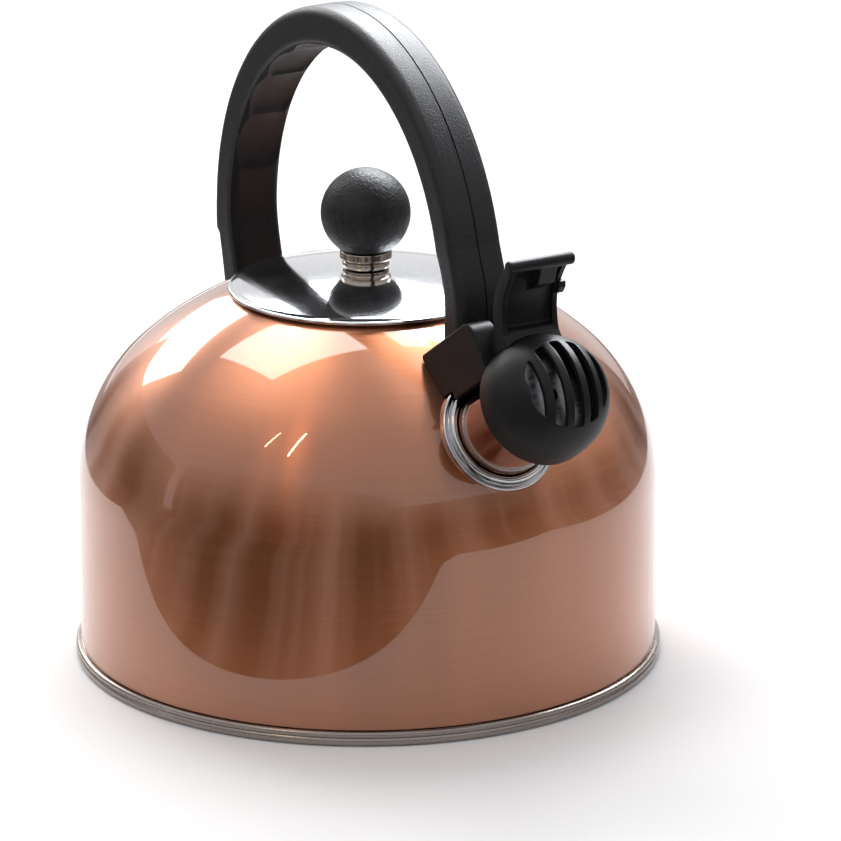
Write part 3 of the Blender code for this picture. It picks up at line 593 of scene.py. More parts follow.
class Grower(Wiring):
    """A geometry tree whose inputs are its geometry, its named sizes and its material."""

    def __init__(self, name, **sizes):
        super().__init__(bpy.data.node_groups.new(name, "GeometryNodeTree"))
        self.tree.is_modifier = True
        self.socket("Geometry", "Geometry", "INPUT")
        for label, default in sizes.items():
            kind = "Int" if isinstance(default, int) else "Float"
            self.socket(label.replace("_", " "), kind, "INPUT").default_value = default
        self.socket("Material", "Material", "INPUT")
        self.socket("Geometry", "Geometry", "OUTPUT")
        self.entry = self.tree.nodes.new("NodeGroupInput").outputs

    def socket(self, label, kind, in_out):
        return self.tree.interface.new_socket(label, in_out=in_out, socket_type=f"NodeSocket{kind}")

    def across(self, x=0.0, y=0.0, z=0.0):
        return self.node("ShaderNodeCombineXYZ", {"X": x, "Y": y, "Z": z}).outputs[0]

    def raised(self, geometry, height, share):
        """Geometry moved up by a share of a height."""
        up = self.across(z=self.math("MULTIPLY", height, share))
        return self.node("GeometryNodeTransform", {"Geometry": geometry, "Translation": up}).outputs[0]

    def joined(self, *geometry):
        node = self.node("GeometryNodeJoinGeometry")
        for part in geometry:
            self.link(part, node.inputs[0])
        return node.outputs[0]

    def copies(self, points, shape, **inputs):
        inputs = {"Points": points, "Instance": shape, **inputs}
        return self.node("GeometryNodeInstanceOnPoints", inputs).outputs[0]

    def boolean(self, operation, *geometry):
        """The first mesh cut by the second, or what two meshes share."""
        node = self.node("GeometryNodeMeshBoolean", operation=operation)
        sockets = [s for s in node.inputs if s.type == "GEOMETRY"]
        first = sockets[0] if operation == "DIFFERENCE" else sockets[-1]
        for part, socket in zip(geometry, (first, sockets[-1])):
            self.link(part, socket)
        return node.outputs[0]

    def finished(self, geometry):
        """Realize Instances and Set Material, the last two steps of every tree."""
        real = self.node("GeometryNodeRealizeInstances", {0: geometry}).outputs[0]
        inputs = {"Geometry": real, "Material": self.entry["Material"]}
        painted = self.node("GeometryNodeSetMaterial", inputs).outputs[0]
        self.link(painted, self.tree.nodes.new("NodeGroupOutput").inputs[0])
        return self.tree


def grown(obj, tree, values):
    """Runs a tree on an object and leaves the plain mesh that it makes."""
    modifier = obj.modifiers.new(tree.name, "NODES")
    modifier.node_group = tree
    for item in tree.interface.items_tree:
        if item.in_out == "INPUT" and item.name in values:
            modifier[item.identifier] = values[item.name]
    return made_plain(obj)


def slot_tree():
    """Bars side by side, kept inside a round field: the cutters of the whistle cap's slots."""
    make = Grower("vent_slots", Count=5, Pitch=0.006, Width=0.0034, Field_Radius=0.0143)
    count, radius = make.entry["Count"], make.entry["Field Radius"]
    pitch = make.across(y=make.entry["Pitch"])
    middle = make.math("MULTIPLY_ADD", count, -0.5, 0.5)
    start = make.node("ShaderNodeVectorMath", {0: pitch, "Scale": middle}, operation="SCALE").outputs[0]
    line = make.node(
        "GeometryNodeMeshLine", {"Count": count, "Offset": pitch, "Start Location": start}, mode="OFFSET"
    ).outputs[0]
    size = make.across(make.math("MULTIPLY", radius, 3.0), make.entry["Width"], 0.030)
    bar = make.node("GeometryNodeMeshCube", {"Size": size}).outputs["Mesh"]
    bars = make.node("GeometryNodeRealizeInstances", {0: make.copies(line, bar)}).outputs[0]
    disc = {"Vertices": 96, "Radius": radius, "Depth": 0.020}
    field = make.node("GeometryNodeMeshCylinder", disc).outputs["Mesh"]
    return make.finished(make.boolean("INTERSECT", bars, field))


def screw_tree():
    """A cross-recess screw head and shank at every point, heads towards +Y."""
    make = Grower(
        "cross_screws", Head_Radius=0.0025, Head_Height=0.0018, Shank_Radius=0.0012, Shank_Length=0.0133
    )
    round_parts = []
    for part, length, share, steps in (("Head", "Head Height", 0.5, 40), ("Shank", "Shank Length", -0.5, 20)):
        sizes = {"Vertices": steps, "Radius": make.entry[f"{part} Radius"], "Depth": make.entry[length]}
        bar = make.node("GeometryNodeMeshCylinder", sizes).outputs["Mesh"]
        round_parts.append(make.raised(bar, make.entry[length], share))
    head, shank = round_parts
    long, thin, deep = 0.0030, 0.0006, 0.0016
    blades = []
    for size in ((long, thin, deep), (thin, long, deep)):
        blade = make.node("GeometryNodeMeshCube", {"Size": size}).outputs["Mesh"]
        blades.append(make.raised(blade, make.entry["Head Height"], 1.0))
    head = make.boolean("DIFFERENCE", head, make.joined(*blades))
    turn = (-math.pi / 2, 0.0, 0.0)
    return make.finished(make.copies(make.entry["Geometry"], make.joined(head, shank), Rotation=turn))


def spring_tree():
    """A round wire wound into a short coil."""
    make = Grower("wound_spring", Turns=3.25, Coil_Radius=0.0031, Length=0.0027, Wire_Radius=0.00045)
    radius = make.entry["Coil Radius"]
    coil = make.node("GeometryNodeCurveSpiral", {
        "Resolution": 32, "Rotations": make.entry["Turns"], "Start Radius": radius, "End Radius": radius,
        "Height": make.entry["Length"],
    }).outputs["Curve"]
    wire = make.node(
        "GeometryNodeCurvePrimitiveCircle", {"Resolution": 12, "Radius": make.entry["Wire Radius"]}
    ).outputs["Curve"]
    sweep = {"Curve": coil, "Profile Curve": wire, "Fill Caps": True}
    return make.finished(make.node("GeometryNodeCurveToMesh", sweep).outputs[0])


# ---- handle


def arch_point(size, degrees):
    angle = math.radians(degrees)
    across, up = size[0] * math.cos(angle), size[1] * math.sin(angle)
    return (
        ARCH_CENTRE[0] + across * math.cos(ARCH_TILT) - up * math.sin(ARCH_TILT),
        ARCH_CENTRE[1] + across * math.sin(ARCH_TILT) + up * math.cos(ARCH_TILT),
    )


def flowing(points, per_side):
    """A smooth line through points, by Catmull-Rom pieces."""
    p = np.array([points[0], *points, points[-1]], float)
    out = []
    for a, b, c, d in zip(p, p[1:], p[2:], p[3:]):
        bend, twist = 2 * a - 5 * b + 4 * c - d, 3 * b - a - 3 * c + d
        for t in np.arange(per_side) / per_side:
            out.append(0.5 * (2 * b + (c - a) * t + bend * t**2 + twist * t**3))
    return out + [p[-1]]


def handle_stations():
    """(inner point, outer point, arch angle) from the front leg's foot over the arch to the rear foot."""
    front = [
        (spout_place(-0.0026, HOUSING_TOP), spout_place(0.0125, HOUSING_TOP)),
        ((0.0638, 0.1290), (0.0764, 0.1340)),
        ((0.0638, 0.1360), (0.0763, 0.1385)),
        ((0.0631, 0.1415), (0.0756, 0.1435)),
        ((0.0615, 0.1470), (0.0738, 0.1492)),
        (arch_point(ARCH_INNER, ARCH_FROM), arch_point(ARCH_OUTER, ARCH_FROM)),
    ]
    inner, outer = flowing([p[0] for p in front], 6), flowing([p[1] for p in front], 6)
    stations = [(a, b, 0.0) for a, b in zip(inner[:-1], outer[:-1])]
    for angle in np.arange(ARCH_FROM, ARCH_TO, ARCH_STEP):
        stations.append((arch_point(ARCH_INNER, angle), arch_point(ARCH_OUTER, angle), float(angle)))
    rear = [
        ((-0.0744, 0.1364), (-0.0874, 0.1375)), ((-0.0740, 0.1320), (-0.0875, 0.1330)),
        ((-0.0735, 0.1294), (-0.0874, 0.1292)), ((-0.0733, 0.1284), (-0.0872, 0.1284)),
        ((-0.0731, 0.1272), (-0.0857, 0.1270)), ((-0.0730, 0.1266), (-0.08545, 0.1264)),
        ((-0.0722, 0.1234), (-0.0848, 0.1232)), ((-0.0712, 0.1195), (-0.0839, 0.1195)),
        ((-0.0703, 0.1160), (-0.0831, 0.1155)), ((-0.0697, 0.1135), (-0.0820, 0.1095)),
        ((-0.0692, 0.1112), (-0.0807, 0.1018)),
    ]
    return stations + [(a, b, 180.0) for a, b in rear]


def scallop(angle, y, depth):
    """How far a finger scallop is sunk at a place on the arch's inner face."""
    place = (angle - SCALLOP_START) / SCALLOP_SWEEP
    if not 0.0 <= place < SCALLOPS:
        return 0.0
    along = 2.0 * (place % 1.0) - 1.0
    across = max(0.0, abs(y) - SCALLOP_FLAT) / SCALLOP_FADE
    return depth * math.sqrt(max(0.0, 1.0 - along**2 - across**2))


def handle_section(thickness, edge):
    """Half the handle's section as (distance from the seam, height over the inner face), seam side last."""
    seam, lip, crown, shy = 0.00006, 0.00022, 0.0004, 0.0001
    wide = ARCH_HALF_WIDTH
    flat = np.linspace(seam + lip, wide - edge, 7)
    thickness -= shy
    points = [(seam, thickness - lip * 1.3)]
    points += [(y, thickness - crown * (y / wide) ** 2) for y in flat[:-1]]
    points += arc((wide - edge, thickness - edge - crown * 0.5), edge, math.pi / 2, 0.0, 10)
    points += [(wide, thickness * share) for share in (0.62, 0.5, 0.38)]
    points += arc((wide - edge, edge), edge, 0.0, -math.pi / 2, 10)
    points += [(y, 0.0) for y in flat[-2::-1]]
    return [*points, (seam * 0.2, 0.0)]


def handle_half(name, side):
    """One moulded half, with the smooth outside and the matt inner face, painted darker as shade, as its two
    materials.
    """
    values = settings()
    vertices, rings = [], []
    for inner, outer, angle in handle_stations():
        inner, outer = np.array(inner), np.array(outer)
        thickness = float(np.linalg.norm(outer - inner))
        out = (outer - inner) / thickness
        ring = []
        for y, up in handle_section(thickness, values.handle_edge):
            weight = max(0.0, 1.0 - up / values.handle_edge)
            up += weight * scallop(angle, y, values.scallop_depth)
            point = inner + out * up
            ring.append(len(vertices))
            vertices.append((point[0], side * y, point[1]))
        rings.append(ring)
    count = len(rings[0])
    faces = [
        (a[i], a[(i + 1) % count], b[(i + 1) % count], b[i])
        for a, b in zip(rings, rings[1:])
        for i in range(count)
    ]
    ends = [tuple(rings[0]), tuple(reversed(rings[-1]))]
    half = outward(new_object(name, vertices, faces + ends, FINISHES["handle"], FINISHES["grip"]))
    for face in half.data.polygons:
        # painted shade: the inner face's strips take the darker grip finish
        face.material_index = int(face.index < len(faces) and face.index % count >= count - SHADED_GRIP_STRIPS)
    return half


def screw_places():
    middle = tuple((a + b) / 2 for a, b in zip(ARCH_OUTER, ARCH_INNER))
    return [arch_point((middle[0] + 0.0005, middle[1] + 0.0005), a) for a in SCREW_ANGLES]


# ---- operators


class KettleStep(bpy.types.Operator):
    """Shared set-up of every step that makes pieces."""

    bl_idname = "kettle.step"
    bl_label = "Kettle Step"

    def execute(self, context):
        self.make(settings())
        return {"FINISHED"}

    def make(self, values):
        raise NotImplementedError(f"{self.bl_idname} makes nothing")


class KETTLE_OT_finishes(KettleStep):
    """Make the materials of every piece"""

    bl_idname = "kettle.finishes"
    bl_label = "Finishes"

    def make(self, values):
        make_finishes()


class KETTLE_OT_body(KettleStep):
    """Make the domed body, its neck and the rolled rim under it"""

    bl_idname = "kettle.body"
    bl_label = "Body"

    def make(self, values):
        bend = arc((NECK_RADIUS + NECK_BEND, NECK_TOP - NECK_BEND), NECK_BEND, math.pi, math.radians(95.0), 8)
        side = subdivided([(BODY_RADIUS, CYLINDER_TOP), (BODY_RADIUS, RIM_HEIGHT + 0.0003)], 0.003)
        outer = [(NECK_RADIUS, NECK_BOTTOM), *bend, *dome_outline(), *side[1:]]
        profile = closed_shell(outer, BODY_WALL)
        shell = spun("kettle_body", profile, values.round_steps, closed=True)
        wide, high, low = 0.0145, 0.008, -0.014
        hole = spun("spout_hole", [(0.0, high), (wide, high), (wide, low), (0.0, low)], 96)
        hole.data.transform(spout_matrix())
        combined(shell, "DIFFERENCE", hole)
        placed(shell, "kettle", "copper_lacquer", "body_shell", finish="body")
        shell.data.materials.append(FINISHES["inside"])
        for face in shell.data.polygons:
            middle, normal = face.center, face.normal
            outside = normal.x * middle.x + normal.y * middle.y + normal.z * (middle.z - 0.03)
            face.material_index = int(outside < 0 or math.hypot(middle.x, middle.y) < NECK_RADIUS + 0.0004)

        flange = BODY_RADIUS - BODY_WALL - 0.0005
        ring = RIM_RADIUS
        rim = [(0.0, 0.0012), (flange - 0.0012, 0.0012), (flange - 0.0012, 0.009), (flange, 0.009)]
        rim += [(flange, RIM_HEIGHT), (BODY_RADIUS + 0.0003, RIM_HEIGHT)]
        rim += arc((ring - 0.0011, RIM_HEIGHT - 0.0011), 0.0011, math.radians(80), math.radians(-50), 10)
        rim += arc((ring - 0.0016, 0.0017), 0.0016, math.radians(48), math.radians(-60), 12)
        rim += [(ring - 0.0024, 0.0), (0.062, 0.0), (0.0605, 0.0006), (0.0, 0.0006)]
        pan = spun("kettle_base", rim, values.round_steps)
        placed(pan, "kettle", "base_steel", "base_pan", finish="rim")


class KETTLE_OT_spout(KettleStep):
    """Make the spout tube and the stepped ring round its root"""

    bl_idname = "kettle.spout"
    bl_label = "Spout"

    def make(self, values):
        steps = values.round_steps // 2
        mouth, root, wall = SPOUT_MOUTH_RADIUS, SPOUT_ROOT_RADIUS, 0.0010
        lip = arc((mouth - 0.0002, SPOUT_LENGTH - 0.0008), 0.0008, math.radians(140), math.radians(-60), 12)
        outer = subdivided([(mouth + 0.0001, SPOUT_LENGTH - 0.0018), (root, -0.004)], 0.002)
        inner = subdivided([(root - wall, -0.004), (mouth - wall, SPOUT_LENGTH - 0.0012)], 0.002)
        tube = spun("spout_pipe", [*lip, *outer, *inner], steps, closed=True)
        on_spout(tube, "kettle", "spout_copper", "spout_tube", "spout")

        step = RING_INNER + 0.0021
        bead = RING_INNER - 0.0005
        face = [(bead, RING_TOP - 0.0009)]
        face += arc((bead + 0.0011, RING_TOP - 0.0009), 0.0011, math.pi, math.radians(5), 14)
        face += [(step - 0.0002, RING_TOP - 0.0018), (step, RING_TOP - 0.0020)]
        face += arc((RING_RADIUS - 0.0006, RING_TOP - 0.0022), 0.0006, math.radians(95), 0.0, 8)
        count = len(face)
        vertices, faces = turned([*face, (RING_RADIUS, -0.01), (RING_INNER, -0.01)], steps, closed=True)
        vertices = [list(v) for v in vertices]
        for index, radius in ((count, RING_RADIUS), (count + 1, RING_INNER)):
            for j in range(steps):
                foot = dome_along(radius, 2 * math.pi * j / steps) - 0.0004
                vertices[index * steps + j][2] = min(foot, RING_TOP - 0.003)
        ring = new_object("spout_collar", vertices, faces)
        on_spout(ring, "kettle", "ring_chrome", "spout_ring", "chrome")


def lid_height(radius):
    return LID_TOP - LID_CURVE + math.sqrt(LID_CURVE**2 - radius**2)


class KETTLE_OT_lid(KettleStep):
    """Make the lid, its skirt, the two-tier collar and the ball knob"""

    bl_idname = "kettle.lid"
    bl_label = "Lid and Knob"

    def make(self, values):
        sheet, hole = 0.0008, 0.0023
        radii = np.linspace(hole, LID_RADIUS - 0.0012, 26)
        top = [(r, lid_height(r)) for r in radii]
        edge_z = lid_height(LID_RADIUS - 0.0012)
        lip = 0.0007
        roll = arc((LID_RADIUS - lip, edge_z - lip), lip, math.radians(85), math.radians(-90), 10)
        under = [(r, lid_height(r) - sheet) for r in radii[::-1]]
        cover = spun("lid_plate", [*top, *roll, *under], values.round_steps, closed=True)
        placed(cover, "lid", "lid_chrome", "lid_cover", finish="lid")

        skirt = [(0.033, 0.1272), *arc((0.0398, 0.1264), 0.0008, math.pi / 2, 0.0, 6), (0.0406, 0.1150)]
        skirt += [(0.0398, 0.1150), (0.0398, 0.1260), (0.0394, 0.1264), (0.033, 0.1264)]
        ring = spun("lid_sleeve", skirt, values.round_steps // 2, closed=True)
        placed(ring, "lid", "bracket_steel", "lid_skirt", finish="inside")

        collar = [(hole, 0.1394), (0.0079, 0.1394)]
        collar += arc((0.0082, 0.1388), 0.0005, math.radians(90), 0.0, 4)
        collar.append((0.0087, 0.1372))
        collar += arc((0.0082, 0.1369), 0.0005, 0.0, math.radians(-80), 4)
        collar += [(0.0076, 0.1362), (0.0074, 0.1359), (0.0076, 0.1356)]
        collar += arc((0.0075, 0.1352), 0.0004, math.radians(60), 0.0, 3)
        collar += [(0.0079, 0.1343), (0.0076, LID_TOP + 0.0003), (hole, LID_TOP + 0.0003)]
        trim = spun("knob_trim", collar, 96, closed=True)
        placed(trim, "lid", "collar_steel", "knob_collar", finish="collar")

        seat_angle = math.asin((KNOB_SEAT_Z - KNOB_CENTRE_Z) / KNOB_RADIUS)
        ball = arc((0.0, KNOB_CENTRE_Z), KNOB_RADIUS, math.pi / 2, seat_angle, 72)
        ball[0] = (0.0, ball[0][1])
        profile = [*ball, (0.0038, KNOB_SEAT_Z), (0.0038, 0.151), (0.0, 0.151)]
        knob = spun("knob_grip", profile, 144)
        placed(knob, "lid", "knob_plastic", "knob_ball", finish="knob", sharp=50.0)


class KETTLE_OT_handle(KettleStep):
    """Make the two moulded halves of the arch handle"""

    bl_idname = "kettle.handle"
    bl_label = "Handle"

    def make(self, values):
        for label, side in (("left", 1), ("right", -1)):
            half = handle_half(f"grip_{label}", side)
            if side > 0:
                seats = [rod("seat", 0.0028, 0.0062, CUT_THROUGH, at) for at in screw_places()]
                seats.append(rod("rear_seat", 0.0029, 0.0056, CUT_THROUGH, REAR_SCREW_AT))
                combined(half, "DIFFERENCE", *seats)
            placed(half, "kettle", "handle_plastic", f"handle_{label}_half", sharp=45.0)


class KETTLE_OT_housing(KettleStep):
    """Make the block at the front leg's foot that carries the lever's pin"""

    bl_idname = "kettle.housing"
    bl_label = "Front Housing"

    def make(self, values):
        nose, chin = 0.005, 0.002
        outline = [(HOUSING_BACK, HOUSING_BOTTOM - 0.006), (HOUSING_BACK + 0.012, HOUSING_BOTTOM - 0.006)]
        outline.append((HOUSING_BACK + 0.012, HOUSING_BOTTOM))
        outline += arc((HOUSING_FRONT - chin, HOUSING_BOTTOM + chin), chin, -math.pi / 2, 0.0, 8)
        outline += arc((HOUSING_FRONT - nose, HOUSING_TOP - nose), nose, 0.0, math.pi / 2, 20)
        outline += arc((HOUSING_BACK + 0.001, HOUSING_TOP - 0.001), 0.001, math.pi / 2, math.pi, 5)
        wide = HOUSING_HALF_WIDTH
        body = slab("housing_block", [spout_place(s, t) for s, t in outline], -wide, wide)
        tube, ring, step = SPOUT_ROOT_RADIUS + 0.0005, RING_RADIUS + 0.0004, RING_TOP + 0.0003
        room = [(0.0, 0.04), (tube, 0.04), (tube, step), (ring, step), (ring, -0.02), (0.0, -0.02)]
        spout_room = spun("spout_room", room, 96)
        spout_room.data.transform(spout_matrix())
        yoke = [spout_place(s, t) for s, t in ((0.012, 0.0177), (0.04, 0.0177), (0.04, 0.05), (0.012, 0.05))]
        low = subdivided(dome_outline(), 0.004)
        dome = [(0.0, low[0][1]), *low, (BODY_RADIUS, 0.02), (0.0, 0.02)]
        cutters = [
            outward(spun("dome_room", dome, 128)),
            spout_room,
            slab("yoke_space", yoke, -0.0056, 0.0056),
            rod("screw_seat", 0.0029, 0.0105, CUT_THROUGH, FRONT_SCREW_AT),
        ]
        combined(body, "DIFFERENCE", *cutters)
        moulded(body, 0.00026, 5)
        placed(body, "kettle", "handle_plastic", "front_housing", finish="lever")


def arm_blade():
    """The lever arm's blade from its side, leaning forward to the thumb bar."""
    line = [(0.0990, 0.1300), (0.0985, 0.1370), (0.0984, 0.1435), (0.0996, 0.1500), (0.1030, 0.1562), BAR_AT]
    middle = np.array(flowing(line, 5))
    run = np.gradient(middle, axis=0)
    run /= np.linalg.norm(run, axis=1)[:, None]
    side = 0.0015 * np.stack([run[:, 1], -run[:, 0]], axis=1)
    return [tuple(p) for p in (*(middle + side), *(middle - side)[::-1])]


def arm_rib():
    """The outline of the ribs along both edges of the arm."""
    back = [(0.0972, 0.1295), (0.0972, 0.1380), (0.0972, 0.1445), (0.0988, 0.1522), (0.1048, 0.1590)]
    front = [(0.1078, 0.1583), (0.1044, 0.1528), (0.1022, 0.1470), (0.1022, 0.1400), (0.1040, 0.1325)]
    return [tuple(p) for p in (*flowing(back, 4), *flowing(front, 4))]


class KETTLE_OT_lever(KettleStep):
    """Make the thumb lever that lifts the whistle cap"""

    bl_idname = "kettle.lever"
    bl_label = "Whistle Lever"

    def make(self, values):
        arm = slab("thumb_lever", arm_blade(), -0.0105, 0.0105)
        foot = [(0.0285, 0.0160), (0.0380, 0.0160), (0.0372, 0.0225), (0.0345, 0.0265), (0.0285, 0.0240)]
        web = [(0.0175, 0.0190), (0.0300, 0.0205), (0.0335, 0.0262), (0.0290, 0.0285), (0.0175, 0.0282)]
        gusset = [(0.0990, 0.1490), (0.1075, 0.1530), (0.1096, 0.1595), (0.1040, 0.1596)]
        bump = [(0.0975, 0.1478), (0.1035, 0.1478), (0.1050, 0.1500), (0.1050, 0.1520), (0.1000, 0.1520)]
        pieces = [
            slab("rib_0", arm_rib(), -0.0104, -0.0084),
            slab("rib_1", arm_rib(), 0.0084, 0.0104),
            slab("foot", [spout_place(s, t) for s, t in foot], -0.0103, 0.0103),
            slab("web", [spout_place(s, t) for s, t in web], -0.0051, 0.0011),
            rod("knuckle", 0.005, -0.0052, 0.0012, spout_place(*PIN_AT)),
            slab("gusset", gusset, -0.0005, 0.0058),
            slab("bump", bump, 0.0090, 0.0117),
            rod("bar", BAR_RADIUS, -BAR_LENGTH / 2, BAR_LENGTH / 2, BAR_AT, round_end=0.0009),
        ]
        combined(arm, "UNION", *pieces)
        play = 0.0001
        ball = arc((0.0, CAP_CENTRE), CAP_RADIUS + play, math.pi / 2, 0.0, 40)
        ball[0] = (0.0, ball[0][1])
        room = spun("cap_room", [*ball, (CAP_RADIUS + play, 0.02), (0.0, 0.02)], 128)
        room.data.transform(spout_matrix())
        bore = rod("bore", PIN_RADIUS + play, -CUT_THROUGH, CUT_THROUGH, spout_place(*PIN_AT))
        combined(arm, "DIFFERENCE", room, bore)
        moulded(arm, 0.00025, 4)
        placed(arm, "whistle", "handle_plastic", "whistle_lever", finish="lever")


class KETTLE_OT_cap(KettleStep):
    """Make the slotted whistle cap and the whistle inside it"""

    bl_idname = "kettle.cap"
    bl_label = "Whistle Cap"

    def make(self, values):
        outer = arc((0.0, CAP_CENTRE), CAP_RADIUS, math.pi / 2, 0.0, 60)
        outer[0] = (0.0, outer[0][1])
        inner = arc((0.0, CAP_CENTRE), CAP_RADIUS - CAP_WALL, 0.0, math.pi / 2, 56)
        inner[-1] = (0.0, inner[-1][1])
        profile = [*outer, (CAP_RADIUS, CAP_RIM), (CAP_RADIUS - CAP_WALL, CAP_RIM), *inner]
        cap = spun("vent_cap", profile, 160)
        slots = grown(new_object("slot_cutters", [(0, 0, 0)], []), slot_tree(), {
            "Pitch": values.slot_pitch, "Width": values.slot_width, "Material": FINISHES["cap"],
        })
        slots.data.transform(Matrix.Translation((0.0, 0.0, SLOT_CUTTERS_AT)))
        combined(cap, "DIFFERENCE", slots)
        moulded(cap, 0.00030, 4)
        on_spout(cap, "whistle", "cap_plastic", "whistle_cap", "cap")
        self.whistle(values)

    def whistle(self, values):
        """The holder, seal and sounding discs behind the cap."""
        def disc(inner, outer, low, high):
            return [(inner, high), (outer, high), (outer, low), (inner, low)]

        holder = [(0.0145, 0.0385), (0.0176, 0.0385), (0.0176, 0.0285), (0.0166, 0.0285)]
        holder += [(0.0166, 0.0375), (0.0145, 0.0375)]
        seal, edge = disc(0.0115, 0.0163, 0.0303, 0.0313), 0.0163
        pieces = (
            ("cap_holder", holder, "cap", "cap_plastic", "whistle_holder"),
            ("cap_seal", seal, "seal", "seal_rubber", "whistle_seal"),
            # painted shade: the discs and spacer behind the cap take the dark whistle metal
            ("back_disc", disc(0.0030, edge, 0.0316, 0.0322), "tin", "whistle_metal", "whistle_back_plate"),
            ("disc_spacer", disc(0.0150, edge, 0.0325, 0.0363), "tin", "whistle_metal", "whistle_spacer"),
            ("front_disc", disc(0.0025, edge, 0.0366, 0.0372), "tin", "whistle_metal", "whistle_front_plate"),
        )
        for name, profile, finish, slot, node in pieces:
            piece = spun(name, profile, 96, closed=True)
            on_spout(piece, "whistle", slot, node, finish)


class KETTLE_OT_fasteners(KettleStep):
    """Make the handle's screws and the lever's spring"""

    bl_idname = "kettle.fasteners"
    bl_label = "Screws and Spring"

    def make(self, values):
        tree = screw_tree()
        points = [(x, 0.0065, z) for x, z in screw_places()]
        screws = grown(new_object("grip_screws", points, []), tree, {"Material": FINISHES["small"]})
        nodes = [f"handle_screw_{i + 1}" for i in range(len(points))]
        placed(screws, "kettle", "screw_steel", *nodes)
        for name, at, head, node in (
            ("rear_screw", REAR_SCREW_AT, 0.0059, "rear_leg_screw"),
            ("front_screw", FRONT_SCREW_AT, 0.0108, "front_leg_screw"),
        ):
            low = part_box(node)[0].y
            piece = grown(new_object(name, [(at[0], head, at[1])], []), tree, {
                "Head Radius": 0.0026, "Shank Radius": 0.0015, "Shank Length": head - low,
                "Material": FINISHES["small"],
            })
            placed(piece, "kettle", "screw_steel", node)
        seed = new_object("return_spring", [(0, 0, 0)], [])
        spring = grown(seed, spring_tree(), {"Material": FINISHES["small"]})
        x, z = spout_place(*PIN_AT)
        turn = Matrix.Translation((x, 0.0020, z)) @ Matrix.Rotation(-math.pi / 2, 4, "X")
        placed(spring, "whistle", "spring_steel", "lever_spring", matrix=turn)


class KETTLE_OT_kept_nodes(KettleStep):
    """Give the small pieces that keep their own shape a finish"""

    bl_idname = "kettle.kept_nodes"
    bl_label = "Small Pieces"

    def make(self, values):
        kept = {
            "front_bracket": "inside", "rear_bracket": "inside", "hinge_pin": "small",
            "knob_insert": "brass", "knob_screw": "small", "knob_washer": "small",
        }
        for name, finish in kept.items():
            painted(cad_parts[name], finish)


def camera_axes():
    """Unit vectors towards the camera on the level, to its right, and straight to the camera."""
    a, e = CAMERA_AZIMUTH, CAMERA_ELEVATION
    back = Vector((math.sin(a) * math.cos(e), -math.cos(a) * math.cos(e), math.sin(e)))
    return Vector((math.sin(a), -math.cos(a), 0.0)), Vector((math.cos(a), math.sin(a), 0.0)), back


def softbox(name, place, size, power, colour, on_matt):
    """An area light aimed at the body, placed towards the camera, to its right and up from the kettle."""
    front, side, _ = camera_axes()
    light = bpy.data.lights.new(name, "AREA")
    light.shape = "RECTANGLE"
    light.size, light.size_y = size
    light.energy = power
    light.color = colour
    obj = in_scene(name, light)
    towards, right, up = place
    obj.location = front * towards + side * right + Vector((0.0, 0.0, up))
    obj.rotation_euler = (Vector((0.0, 0.0, 0.10)) - obj.location).to_track_quat("-Z", "Y").to_euler()
    obj.visible_camera = False
    obj.visible_diffuse = on_matt


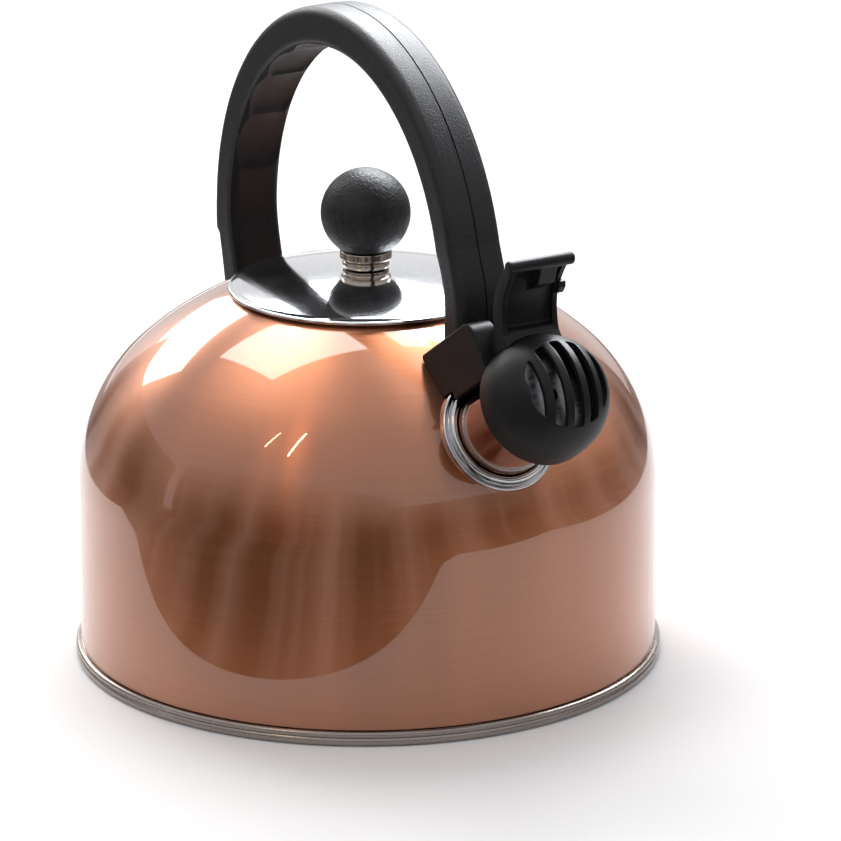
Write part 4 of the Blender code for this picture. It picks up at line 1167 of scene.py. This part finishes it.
class KETTLE_OT_stage(KettleStep):
    """Make the pale floor, the studio lights and the camera"""

    bl_idname = "kettle.stage"
    bl_label = "Stage and Camera"

    def make(self, values):
        self.floor()
        self.lights()
        self.camera()

    def floor(self):
        make = Finish("pale_floor", Roughness=0.85)
        tone = make.noise(make.object_coordinates(), 3.0, 3.0)
        make.shade(Base_Color=make.mixed(tone, (0.86, 0.86, 0.865), (0.88, 0.88, 0.885)))
        half = 9.0
        vertices = [(-half, -half, 0.0), (half, -half, 0.0), (half, half, 0.0), (-half, half, 0.0)]
        floor = new_object("studio_floor", vertices, [(0, 1, 2, 3)], make.material)

    def lights(self):
        world = bpy.data.worlds.new("studio_air")
        bpy.context.scene.world = world
        world.use_nodes = True
        sky = Wiring(world.node_tree)
        place = sky.node("ShaderNodeTexCoord").outputs["Generated"]
        up = sky.node("ShaderNodeSeparateXYZ", {0: place}).outputs["Z"]
        ramp = sky.node("ShaderNodeValToRGB", {"Fac": up})
        stops = ((0.0, (1.0, 1.0, 1.0)), (0.55, (0.84, 0.85, 0.88)))
        for element, (position, colour) in zip(ramp.color_ramp.elements, stops):
            element.position = position
            element.color = (*colour, 1.0)
        background = sky.tree.nodes["Background"].inputs
        sky.put(ramp.outputs["Color"], background["Color"])
        sky.put(0.88, background["Strength"])
        for light in LIGHTS:
            softbox(*light)
        self.dark_room()

    def dark_room(self):
        """A painted reflection: a glowing dark table edge and dark walls in front of the kettle, with painted
        bands and a lighter top, which only its reflections show.
        """
        make = Finish("dark_room", Roughness=1.0, Base_Color=(0.0, 0.0, 0.0, 1.0), Specular_IOR_Level=0.0,
                      Emission_Strength=1.0)
        place = make.object_coordinates()
        level = make.node("ShaderNodeVectorMath", {0: place, 1: (1.0, 1.0, 0.0)}, operation="MULTIPLY")
        heading = make.node("ShaderNodeVectorMath", {0: level.outputs[0]}, operation="NORMALIZE").outputs[0]
        # painted reflection: light and dark bands across the sheets' glow
        painted_reflection_bands = make.ranged(make.noise(heading, 5.0, 3.0), 0.0, 1.0, 0.40, 0.64)
        colour = make.mixed(painted_reflection_bands, (0.03, 0.027, 0.025), (0.44, 0.41, 0.39))
        up = make.node("ShaderNodeSeparateXYZ", {0: place}).outputs[2]
        # painted reflection: the glow grows lighter towards the top
        colour = make.mixed(make.ranged(up, 0.0, 1.0, 0.15, 0.90), colour, (0.78, 0.76, 0.74))
        make.shade(Emission_Color=colour)
        front, right, _ = camera_axes()
        lift = Vector((0.0, 0.0, 0.0006))
        for name, turn, edge, far, half_width, height in PAINTED_REFLECTION_CARDS:
            rotation = Matrix.Rotation(math.radians(turn), 3, "Z")
            ahead, side = rotation @ front, rotation @ right
            near, back = ahead * edge + lift, ahead * far + lift
            wide, high = side * half_width, Vector((0.0, 0.0, height))
            corners = [near - wide, near + wide, back + wide, back - wide]
            corners += [back + wide + high, back - wide + high]
            card = new_object(name, corners, [(0, 1, 2, 3), (3, 2, 4, 5)], make.material)
            # painted reflection: the sheets show only in reflections, never to the camera, matt surfaces or
            # shadows
            card.visible_camera = card.visible_diffuse = card.visible_shadow = False

    def camera(self):
        data = bpy.data.cameras.new("studio_camera")
        data.sensor_width = 36.0
        data.lens = CAMERA_LENS
        data.shift_x, data.shift_y = CAMERA_SHIFT
        camera = in_scene("studio_camera", data)
        back = camera_axes()[2]
        turn = (-back).to_track_quat("-Z", "Y").to_matrix().to_4x4() @ Matrix.Rotation(CAMERA_ROLL, 4, "Z")
        camera.matrix_world = Matrix.Translation(CAMERA_TARGET + back * CAMERA_DISTANCE) @ turn
        bpy.context.scene.camera = camera
        bpy.context.scene.view_settings.view_transform = "Standard"


STEPS = (
    KETTLE_OT_finishes, KETTLE_OT_body, KETTLE_OT_spout, KETTLE_OT_lid, KETTLE_OT_handle, KETTLE_OT_housing,
    KETTLE_OT_lever, KETTLE_OT_cap, KETTLE_OT_fasteners, KETTLE_OT_kept_nodes, KETTLE_OT_stage,
)


class KETTLE_PT_panel(bpy.types.Panel):
    """Lists the kettle's settings and steps"""

    bl_idname = "KETTLE_PT_panel"
    bl_label = "Kettle"
    bl_space_type = "VIEW_3D"
    bl_region_type = "UI"
    bl_category = "Kettle"

    def draw(self, context):
        for name in KettleSettings.__annotations__:
            self.layout.prop(context.scene.kettle_settings, name)
        for step in STEPS:
            self.layout.operator(step.bl_idname)


CLASSES = (KettleSettings, *STEPS, KETTLE_PT_panel)


def register():
    for item in CLASSES:
        bpy.utils.register_class(item)
    bpy.types.Scene.kettle_settings = bpy.props.PointerProperty(type=KettleSettings)


def unregister():
    del bpy.types.Scene.kettle_settings
    for item in reversed(CLASSES):
        bpy.utils.unregister_class(item)


def main():
    register()
    for step in STEPS:
        getattr(bpy.ops.kettle, step.bl_idname.split(".")[1])()


if __name__ == "__main__":
    main()
